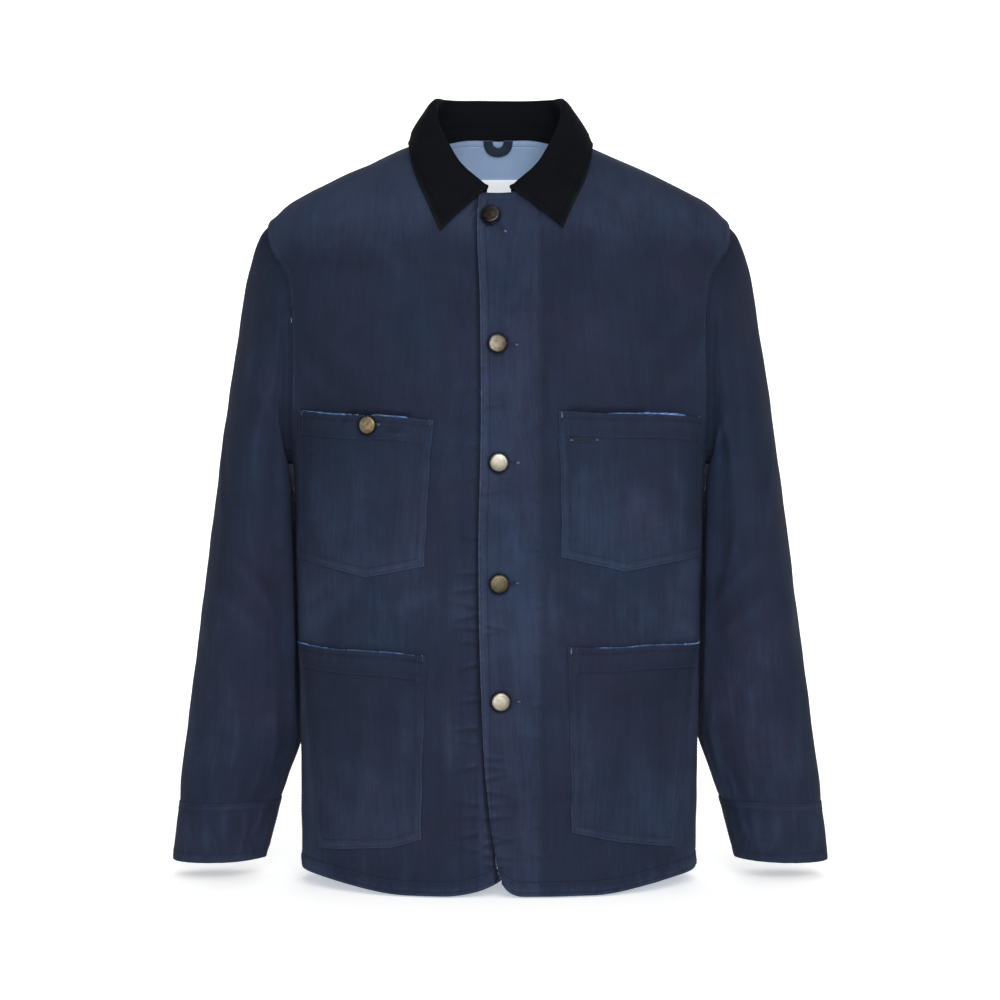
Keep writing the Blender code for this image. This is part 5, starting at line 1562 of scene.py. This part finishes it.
def body_seams(name, points, rows):
    """Relief, finished-edge distance and wear of a front or the back, from its own edges."""
    to_hem, to_top, inner, outer = (distance_from(points, edge) for edge in "btio")
    centre, flank = (inner, outer) if name == "front_left" else (outer, inner)
    flank = np.minimum(inner, outer) if name == "back" else flank
    rise = np.where(rows[:, None] >= BODY_CELLS, ARMHOLE_RISE, FELLED_RISE) * felled(flank)
    rise = rise + FELLED_RISE * 0.7 * felled(to_top) + roping(points, "b", to_hem)
    rise = rise + BAND_RISE * smoothstep((HEM_BAND - to_hem) / 0.003)
    edge = np.minimum.reduce([flank, to_top, to_hem * STITCH_LINES[1] / HEM_BAND])
    if name == "back":
        return rise, edge, 0.16 * bell(to_hem, 0.0030)
    rise = rise + BAND_RISE * smoothstep((0.010 - centre) / 0.004)
    return rise, np.minimum(edge, centre), 0.28 * bell(to_hem, 0.0050) + 0.34 * bell(centre, 0.0038)


def body_pieces(grids):
    """Fronts and back, with everything that crosses them pushed in."""
    made = {}
    for name in ("front_left", "front_right", "back"):
        face, rows = (-1, BACK_ROWS) if name == "back" else (1, FRONT_ROWS)
        plain = grids[name][rows]
        if name != "back":
            plain = evened(plain, "i" if name == "front_left" else "o")
        way_out = grid_normals(plain)
        points = plain + way_out * body_relief(plain, face)[..., None]
        rise, edge, wear = body_seams(name, points, rows)
        if name == "back":
            tone = 0.04 - 0.03 * smoothstep((np.abs(points[..., 0]) - 0.165) / 0.04)
            tone = tone + wear_and_painted_shade(flat_creases(points, BACK_CREASES), CREASE_WEAR_AND_SHADE)
        else:
            tone = front_tone(points)
        if name == "front_right":
            # Painted shade along the line where the top front's edge lies on it
            top_edge = grids["front_left"][:, 0]
            lap = np.interp(points[..., 2], top_edge[:, 2], top_edge[:, 0])
            depth = 0.24 + 0.12 * smoothstep((-0.40 - points[..., 2]) / 0.10)
            tone = tone - depth * bell(points[..., 0] - lap + 0.0012, 0.0019)
        made[name] = points + way_out * rise[..., None]
        cloth_piece(name, made[name], CLOTH, TWILL,
                    edge=edge, tone=tone, wear=wear)
    return made


def sleeve_pieces(grids):
    """Top and under sleeves and cuffs."""
    made = {}
    first, last = UNDER_SLEEVE_CELLS
    ring = np.linspace(0, 360, 2 * ARMHOLE_CELLS + 1)
    angles = {"top": np.concatenate([ring[last:-1] - 360, ring[:first + 1]]),
              "under": ring[first:last + 1]}
    for side, way in SIDES.items():
        twist = SLEEVE_TWIST[side]
        for half, top in (("top", True), ("under", False)):
            name = f"sleeve_{side}_{half}"
            plain = grids[name]
            along, angle = (field[::-1, ::-way]
                            for field in np.meshgrid(sleeve_rows(), angles[half], indexing="ij"))
            creases = ring_creases(SLEEVE_CREASES, lambda at: float(read(SLEEVE, "half_depth", at)),
                                   (twist - 360, twist), angle, along)
            to_cuff, to_top, to_seam = distances(plain)
            seam = felled(to_seam) if top else -0.3 * bell(to_seam, 0.004)
            rise = creases + fold_rise(plain) + unevenness(plain) + FELLED_RISE * seam
            rise = rise - SLEEVE_DIP * bell(to_top, 0.006)
            rise = rise - 0.5 * FELLED_RISE * bell(to_cuff, 0.006)
            made[name] = pushed_out(plain, rise)
            edge = np.minimum(to_seam if top else to_seam + 0.02, to_top + 0.006)
            # Painted light on the side that faces the body, and painted shade next to the armhole
            # seam
            facing_body = smoothstep((-way * grid_normals(plain)[..., 0] - 0.55) / 0.40)
            tone = 0.02 + 0.04 * smoothstep((along - 0.30) / 0.15) - 0.03 * bell(to_top, 0.010)
            tone = tone + (0.18 if side == "left" else 0.13) * facing_body
            cloth_piece(name, made[name], CLOTH, TWILL,
                        edge=edge, tone=tone + wear_and_painted_shade(creases, CREASE_WEAR_AND_SHADE))

        name = f"cuff_{side}"
        plain = grids[name]
        to_hem, to_seam, to_slit = distances(plain)
        angle = np.linspace(SLIT_AT + 360, SLIT_AT, plain.shape[1])[::way][None] % 360
        creases = ring_creases(CUFF_CREASES, lambda at: CUFF["half_depth"][0], (0,),
                               np.broadcast_to(angle, to_seam.shape), to_seam)
        rise = creases + unevenness(plain) + 0.7 * roping(plain, "b", to_hem)
        made[name] = pushed_out(plain, rise + 0.5 * FELLED_RISE * felled(to_seam))
        cloth_piece(name, made[name], CUFF_CLOTH, TWILL[:1],
                    edge=np.minimum.reduce([to_seam, to_hem, to_slit]),
                    tone=0.075 + 1.4 * wear_and_painted_shade(creases, CREASE_WEAR_AND_SHADE),
                    wear=0.20 * bell(to_hem, 0.0025) + 0.12 * bell(to_slit, 0.002))
    return made


def collar_pieces(grids):
    """Needlecord stand and leaf, ribbed from the neck seam outwards."""
    cord = ("black_needlecord",)
    stand, leaf = grids["collar_stand"], grids["collar_leaf"]
    cloth_piece("collar_stand", stand, STAND_CLOTH, cord,
                edge=distance_from(stand, "b") + 0.003, wear=0.05)
    to_seam, to_edge, to_front = distances(leaf)
    edge = np.minimum(to_edge, to_front)
    rise = 0.0006 * felled(edge) + 0.7 * unevenness(leaf) * smoothstep(to_seam / 0.03)
    leaf = pushed_out(leaf, rise)
    cloth_piece("collar_leaf", leaf, LEAF_CLOTH, cord,
                edge=edge, wear=0.20 * bell(to_edge, 0.003) + 0.10 * bell(to_seam - 0.021, 0.010))
    return {"collar_leaf": leaf}


def pocket_plan(name):
    """Places of a pocket's grid, seen from the front: rows up from its point to its mouth."""
    way = SIDES[name.split("_")[-1]]
    top_in, top_out, low_out, point, low_in = np.array(POCKETS[name]) / 1000 * (way, 1)
    low, high = np.array([low_in, point, low_out])[::way], np.array([top_in, top_out])[::way]
    across, up = (np.linspace(0, 1, cells + 1) for cells in POCKET_CELLS)
    point_share = (low[1, 0] - low[0, 0]) / (low[2, 0] - low[0, 0])
    low = sample(across, [0, point_share, 1], low)
    high = high[0] + (high[1] - high[0]) * across[:, None]
    plan = low[None] + (high - low)[None] * up[:, None, None]
    up = up[:, None]
    plan[..., 0] += 0.0011 * np.sin(math.pi * up) * (1 - 2 * across)
    plan[..., 0] += 0.0004 * np.sin(19 * up + 3) * np.abs(2 * across - 1) ** 4
    plan[..., 1] += 0.0007 * np.sin(9 * across + 2) * up ** 6
    plan[..., 1] -= 0.0005 * np.sin(7 * across + 1) * (1 - up) ** 6
    return plan


def pocket_pieces():
    """Patch pockets: sewn flat at three edges, easing off the front in the middle and mouth."""
    made = {}
    for name in POCKETS:
        plan = pocket_plan(name)
        base, _ = body_point(plan[..., 0], plan[..., 1], 1)
        to_low, to_mouth, to_side = distances(base)
        sewn = np.minimum(to_side, to_low)
        belly = smoothstep(to_side / 0.045) * smoothstep(to_low / 0.05)
        mouth = smoothstep(to_side / 0.040) * smoothstep((0.060 - to_mouth) / 0.060)
        turned_in = smoothstep((0.0105 - np.minimum(sewn, to_mouth + 0.0105)) / 0.003)
        hem = smoothstep((0.026 - to_mouth) / 0.003)
        creases = crease_rise(plan[..., 0], plan[..., 1], zip(*POCKET_CREASES[name].values()))
        rise = POCKET_LIFT + POCKET_CLOTH + POCKET_BELLY * (belly + 0.9 * mouth) + creases
        rise = rise - 0.0007 * bell(sewn, 0.0022) + 0.0004 * (turned_in + hem)
        rise = rise + 0.6 * roping(base, "t", to_mouth) * smoothstep(to_side / 0.01)
        made[name] = points = pushed_out(base, np.maximum(rise, 0.0011))
        tone = -0.010 + 0.10 * smoothstep((0.16 - to_low) / 0.14)
        # Painted shade round the pocket's button
        tone = tone + wear_and_painted_shade(creases, CREASE_WEAR_AND_SHADE) - 0.30 * around_buttons(points, SHADE_REACH)
        along = np.linspace(0, 1, base.shape[1])[None]
        frayed = sum(rubbed * stretch(along, begin, end, 0.04)
                     for begin, end, rubbed, *_ in FRAYS[name])
        frayed = frayed * (0.58 + 0.42 * np.sin(31 * along + 2) * np.sin(13 * along))
        wear = 0.14 * bell(sewn, 0.0024) + (0.08 + frayed) * bell(to_mouth, 0.0014)
        wear = wear + 0.22 * frayed * bell(to_mouth, 0.0060)
        corners = smoothstep((along - 0.97) / 0.03) + smoothstep((0.03 - along) / 0.03)
        wear = wear + 0.22 * corners * (bell(to_low, 0.0050) + 0.6 * bell(to_mouth, 0.0050))
        edge = np.minimum(sewn, to_mouth * STITCH_LINES[1] / POCKET_HEM)
        cloth_piece(name, points, POCKET_CLOTH, TWILL,
                    edge=edge, tone=tone, wear=wear)
    return made


def inside_back(across, height, off):
    """Points on the inside of the back, a distance off it towards the wearer."""
    outside, out = body_point(across, height, -1)
    return outside - out * (CLOTH + INSIDE_LIFT + off)[..., None]


def hanger_loop():
    """Folded dark tape sewn into the neck seam: a strip carried round a half circle."""
    turn = np.linspace(0, math.pi, 61)
    share = np.linspace(1, 0, 13)[:, None]
    across = LOOP_MIDDLE - between(*LOOP_TAPE_HALF, share) * np.cos(turn)
    height = LOOP_SEAM - (LOOP_SEAM - between(*LOOP_TAPE_LOW, share)) * np.sin(turn) ** 0.8
    crown = 0.0006 * np.sin(math.pi * share) ** 0.5 + 0 * across
    points = inside_back(across, height, LOOP_CLOTH + crown)
    cloth_piece("hanger_loop", points, LOOP_CLOTH, ("dark_tape",))


def neck_label():
    """Bare woven label, sewn at its ends, its middle standing a little off the back."""
    height, share = np.meshgrid(np.linspace(LABEL_BOTTOM, LABEL_TOP, 33), np.linspace(-1, 1, 33),
                                indexing="ij")
    off = LABEL_CLOTH + 0.0008 * (1 - share ** 2) * (1 + 0.3 * np.sin(90 * height))
    points = inside_back(LABEL_MIDDLE + LABEL_HALF_WIDTH * share, height, off)
    cloth_piece("neck_label", points, LABEL_CLOTH, ("white_label_tape",))


# ---------------------------------------------------------------- buttons and buttonholes

def button_pieces():
    """Tack buttons: a cap's profile and its post, turned round an axis that faces outwards."""
    spin = np.linspace(0, 2 * math.pi, BUTTON_TURNS, endpoint=False)
    for number, (name, button) in enumerate(BUTTONS.items()):
        metal, radius, across, height, shank, turned, highlight_side = button
        _, out = body_point(np.array(across), np.array(height), 1)
        cos, sin = math.cos(math.radians(turned)), math.sin(math.radians(turned))
        facing = np.array([[cos, -sin, 0], [sin, cos, 0], [0, 0, 1]]) @ out
        side = unit(np.cross(facing, np.array([0, 0, 1.0])))
        up = np.cross(side, facing)
        line = np.array(BUTTON_LINE) * (radius, 1) + (0, shank)
        line = np.concatenate([line, [(SHANK_RADIUS, shank), (SHANK_RADIUS, 0.0)]])
        out_share = line[:, :1] / radius
        dents = 0.00006 * np.sin(3 * spin + number) * np.sin(math.pi * np.clip(out_share, 0, 1))
        rim = np.cos(spin)[:, None] * side + np.sin(spin)[:, None] * up
        points = line[:, :1, None] * rim + (line[:, 1:] + dents)[..., None] * facing
        corners = points.reshape(-1, 3)
        cad_middle = np.mean(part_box(name), axis=0)
        points = points + cad_middle - (corners.min(axis=0) + corners.max(axis=0)) / 2
        points[-1] -= facing * POST_SINK
        quads = grid_faces(len(points), BUTTON_TURNS, closed=True)[:, ::-1]
        mesh = mesh_of(name + "_cap", points.reshape(-1, 3), quads)
        # Patina in the ring's hollow, painted shade on the outer roll, and darkest under the cap
        # and on the post
        patina_and_highlight = 0.5 * bell(out_share - 0.66, 0.09) + 0.6 * smoothstep((out_share - 0.90) / 0.10)
        # Painted highlight: paler towards the highlight side, darker opposite
        patina_and_highlight = patina_and_highlight - 1.5 * out_share ** 2 * np.cos(spin - math.radians(highlight_side))
        patina_and_highlight = patina_and_highlight + 0.3 * (1 - out_share)
        patina_and_highlight[-6:] = 2.0
        carry(mesh, "patina_and_highlight", patina_and_highlight)
        clean_poles(mesh)
        place_piece(name + "_cap", mesh, (metal,), (name,))


def clean_poles(mesh):
    """Merge the points at a turned mesh's pole and close its foot."""
    shape = bmesh.new()
    shape.from_mesh(mesh)
    bmesh.ops.remove_doubles(shape, verts=shape.verts, dist=0.00001)
    bmesh.ops.holes_fill(shape, edges=[edge for edge in shape.edges if edge.is_boundary])
    bmesh.ops.recalc_face_normals(shape, faces=shape.faces)
    shape.to_mesh(mesh)
    shape.free()
    mesh.shade_smooth()


def on_front(near, far, lift):
    """Stitches between places seen from the front, laid on the fronts and lifted off them."""
    (start, out), (finish, _) = body_point(*near.T, 1), body_point(*far.T, 1)
    return np.stack([start + out * lift, finish + out * lift, out], axis=1)


def slanting(slope):
    """The way along a slope in degrees, and the way square to it, seen from the front."""
    cos, sin = math.cos(math.radians(slope)), math.sin(math.radians(slope))
    return np.array([cos, sin]), np.array([-sin, cos])


def whipped_slot(across, height, slope, length, lift):
    """Buttonhole: close stitches set square to a slot on both its sides and round its end."""
    way, square = slanting(slope)
    start = np.array([across, height])
    share = np.linspace(0, 1, int(length / 0.00075))[:, None]
    near = [start + way * share * length + square * side * 0.0004 for side in (-1, 1)]
    far = [line + square * side * 0.0014 for line, side in zip(near, (-1, 1))]
    fan = np.radians(np.linspace(-80, 80, 9))[:, None]
    spoke = way * np.cos(fan) + square * np.sin(fan)
    end = start + way * length
    near, far = near + [end + spoke * 0.0004], far + [end + spoke * 0.0019]
    return on_front(np.concatenate(near), np.concatenate(far), lift)


def bar_tack(middle, slope, length, lift):
    """Bar tack: a block of close satin stitches across a line."""
    way, square = slanting(slope)
    share = np.linspace(-0.5, 0.5, max(int(length / 0.0005), 2))[:, None]
    middle = np.array(middle) + way * share * length
    return on_front(middle - square * 0.0010, middle + square * 0.0010, lift)


def buttonhole_pieces():
    """Worked buttonholes, their pale ends, and the bar tacks at the pockets' mouths."""
    dark, pale = [], []
    on_pocket = POCKET_LIFT + POCKET_CLOTH
    for name, (across, height, slope, length) in BUTTONHOLES.items():
        lift = 0.0016 + on_pocket + POCKET_BELLY * 1.6 if name.startswith("pocket") else 0.0006
        dark.append(whipped_slot(across, height, slope, length, lift))
        end = np.array([across, height]) + slanting(slope)[0] * (length + 0.0012)
        ends = [end, (across - 0.0012, height)] if name == "pocket_left" else [end]
        pale += [bar_tack(place, slope, 0.0022, lift + 0.0002) for place in ends]
    thread_piece("buttonholes", dark, WHIP_RADIUS, "navy_thread")
    for name, corners in POCKETS.items():
        for (across, height), inset in zip(corners[:2], (4, -4)):
            middle = (SIDES[name.split("_")[-1]] * (across + inset) / 1000, (height - 3) / 1000)
            pale.append(bar_tack(middle, 90, 0.005, on_pocket + 0.0006))
    thread_piece("pale_tacks", pale, WHIP_RADIUS * 0.9, "pale_thread")


# ---------------------------------------------------------------- thread and frayed edges

def seam_stitches(grid, edges, insets, kept=slice(None)):
    """Running stitches at distances inside the edges of a piece."""
    made = []
    normals = grid_normals(grid)
    for edge in edges:
        for inset in insets:
            way_out = inwards(normals, edge)[int(round(inset / 0.003))]
            made.append(stitch_line(inset_line(grid, edge, inset)[kept], way_out[kept]))
    return made


def line_across(grid, across):
    """Points and normals where a piece's rows pass a distance across, seen from the front."""
    after = np.clip((grid[..., 0] < across).sum(axis=1), 1, grid.shape[1] - 1)
    number = np.arange(grid.shape[0])
    low, high = grid[number, after - 1], grid[number, after]
    share = ((across - low[:, 0]) / (high - low)[:, 0])[:, None]
    return between(low, high, share), grid_normals(grid)[number, after]


def thread_pieces(made):
    """All running stitches, each garment part's in one piece."""
    one, both = STITCH_LINES[:1], STITCH_LINES
    seams = []
    for name, centre, flank in (("front_left", "i", "o"), ("front_right", "o", "i")):
        seams += seam_stitches(made[name], centre, one)
        seams += seam_stitches(made[name], flank, both)
        seams += seam_stitches(made[name], "b", (HEM_STITCH,))
        if name == "front_left":
            seams.append(stitch_line(*line_across(made[name][:-14], PUCKER_LINES["facing"][0])))
    back = made["back"]
    seams += seam_stitches(back, "b", (HEM_STITCH,))
    seams += seam_stitches(back, "io", both, slice(BODY_CELLS // 2, None))
    for shoulder in (slice(0, SHOULDER_CELLS), slice(-SHOULDER_CELLS, None)):
        seams += seam_stitches(back, "t", both, shoulder)
    thread_piece("body_stitching", seams, THREAD_RADIUS, "navy_thread")

    arms = []
    for side in SIDES:
        sleeve_top = made[f"sleeve_{side}_top"]
        arms += seam_stitches(sleeve_top, "io", both, slice(0, -SEAM_START_CELLS))
        arms += seam_stitches(made[f"cuff_{side}"], "tb", both)
        arms += seam_stitches(made[f"cuff_{side}"], "io", one)
    thread_piece("sleeve_stitching", arms, THREAD_RADIUS, "navy_thread")

    patches = []
    for name in POCKETS:
        patches += seam_stitches(made[name], "bio", both)
        patches += seam_stitches(made[name], "t", (POCKET_HEM_STITCH,))
    thread_piece("pocket_stitching", patches, THREAD_RADIUS, "navy_thread")

    edges = seam_stitches(made["collar_leaf"], "t", (COLLAR_STITCH,), slice(6, -6))
    edges += seam_stitches(made["collar_leaf"], "io", (COLLAR_STITCH,), slice(22, -3))
    thread_piece("collar_stitching", edges, THREAD_RADIUS, "black_thread")


def scatter(count, seed):
    """Evenly spread numbers from 0 to 1 in no visible order: multiples of the golden share."""
    return (np.arange(count) * 0.6180339887 + 0.37 * seed) % 1.0


def frayed_mouths(made):
    """Pale weft yarns that stand out of the rubbed mouths, in short uneven tufts, and lie along."""
    yarns = []
    for name, tufts in FRAYS.items():
        grid = made[name]
        mouth, above, normals = grid[-1], grid[-1] - grid[-3], grid_normals(grid)[-1]
        run = np.linspace(0, 1, len(mouth))

        def lay_out(at):
            up, out = unit(sample(at, run, above)), unit(sample(at, run, normals))
            return sample(at, run, mouth), up, out, np.cross(up, out)
        for seed, (begin, end, _, count, length) in enumerate(tufts):
            point, up, out, side = lay_out(begin + (end - begin) * scatter(count, seed))
            lean = (scatter(count, seed + 3) - 0.5)[:, None]
            reach = (0.35 + 0.65 * scatter(count, seed + 5))[:, None] * length
            forward = (scatter(count, seed + 8) * 0.7 - 0.15)[:, None]
            way = up * (0.55 - np.abs(lean) * 0.5) + side * lean * 1.9 + out * forward
            tip = point + way * reach
            yarns.append(np.stack([point - up * 0.0010 + out * 0.0002, tip, out], axis=1))
        begin, end = min(tuft[0] for tuft in tufts) + 0.02, max(tuft[1] for tuft in tufts) - 0.02
        at = begin + (end - begin) * scatter(LYING_YARNS, 11)
        at = at[np.sin(23 * at + len(name)) + 0.6 * np.sin(57 * at) > 0.10]
        point, up, out, side = lay_out(at)
        half = side * (0.0010 + 0.0018 * scatter(len(at), 13)[:, None])
        wave = up * (0.0003 * np.sin(90 * at)[:, None] - 0.0001)
        yarns.append(np.stack([point - half + wave, point + half - wave, out], axis=1))
    thread_piece("frayed_mouths", yarns, YARN_RADIUS, "frayed_yarn")


# ---------------------------------------------------------------- stage

def add_stage():
    """White paper sweep, soft lights and a long lens square to the front."""
    turn = np.linspace(0, RIGHT_ANGLE, 25)
    bend_y = SWEEP_FROM + SWEEP_RADIUS * np.sin(turn)
    bend_z = FLOOR + SWEEP_RADIUS - SWEEP_RADIUS * np.cos(turn)
    y = np.concatenate([[-7.0, -2.0, 0.6], bend_y, [SWEEP_FROM + SWEEP_RADIUS]])
    z = np.concatenate([[FLOOR, FLOOR, FLOOR], bend_z, [6.0]])
    x = np.linspace(-7, 7, 9)
    points = np.stack(np.broadcast_arrays(x[None], y[:, None], z[:, None]), axis=-1)
    paper = mesh_of("paper_sweep", points.reshape(-1, 3), grid_faces(len(y), len(x)))
    paper.materials.append(MATERIALS["white_paper"])
    sweep = bpy.data.objects.new("paper_sweep", paper)
    scene = bpy.context.scene
    scene.collection.objects.link(sweep)

    scene.view_settings.view_transform = "Standard"
    world = bpy.data.worlds.new("soft_room")
    world.use_nodes = True
    background = world.node_tree.nodes["Background"]
    background.inputs["Color"].default_value = (1.0, 1.0, 1.0, 1.0)
    background.inputs["Strength"].default_value = WORLD_STRENGTH
    scene.world = world
    for name, place, target, size, power in LIGHTS:
        light = bpy.data.lights.new(name, "AREA")
        light.shape = "RECTANGLE"
        light.size, light.size_y = size
        light.energy = power
        lamp = bpy.data.objects.new(name, light)
        lamp.location = place
        lamp.rotation_mode = "QUATERNION"
        lamp.rotation_quaternion = (Vector(target) - Vector(place)).to_track_quat("-Z", "Y")
        lamp.visible_camera = False
        scene.collection.objects.link(lamp)

    lens = bpy.data.cameras.new("front")
    lens.lens = LENS
    lens.sensor_width = SENSOR
    camera = bpy.data.objects.new("front", lens)
    camera.location = CAMERA
    camera.rotation_euler = (RIGHT_ANGLE, 0, 0)
    scene.collection.objects.link(camera)
    scene.camera = camera


make_materials()
outer_grids = sewn_grids()
sewn = {**body_pieces(outer_grids), **sleeve_pieces(outer_grids), **collar_pieces(outer_grids),
        **pocket_pieces()}
hanger_loop()
neck_label()
button_pieces()
thread_pieces(sewn)
buttonhole_pieces()
frayed_mouths(sewn)
add_stage()
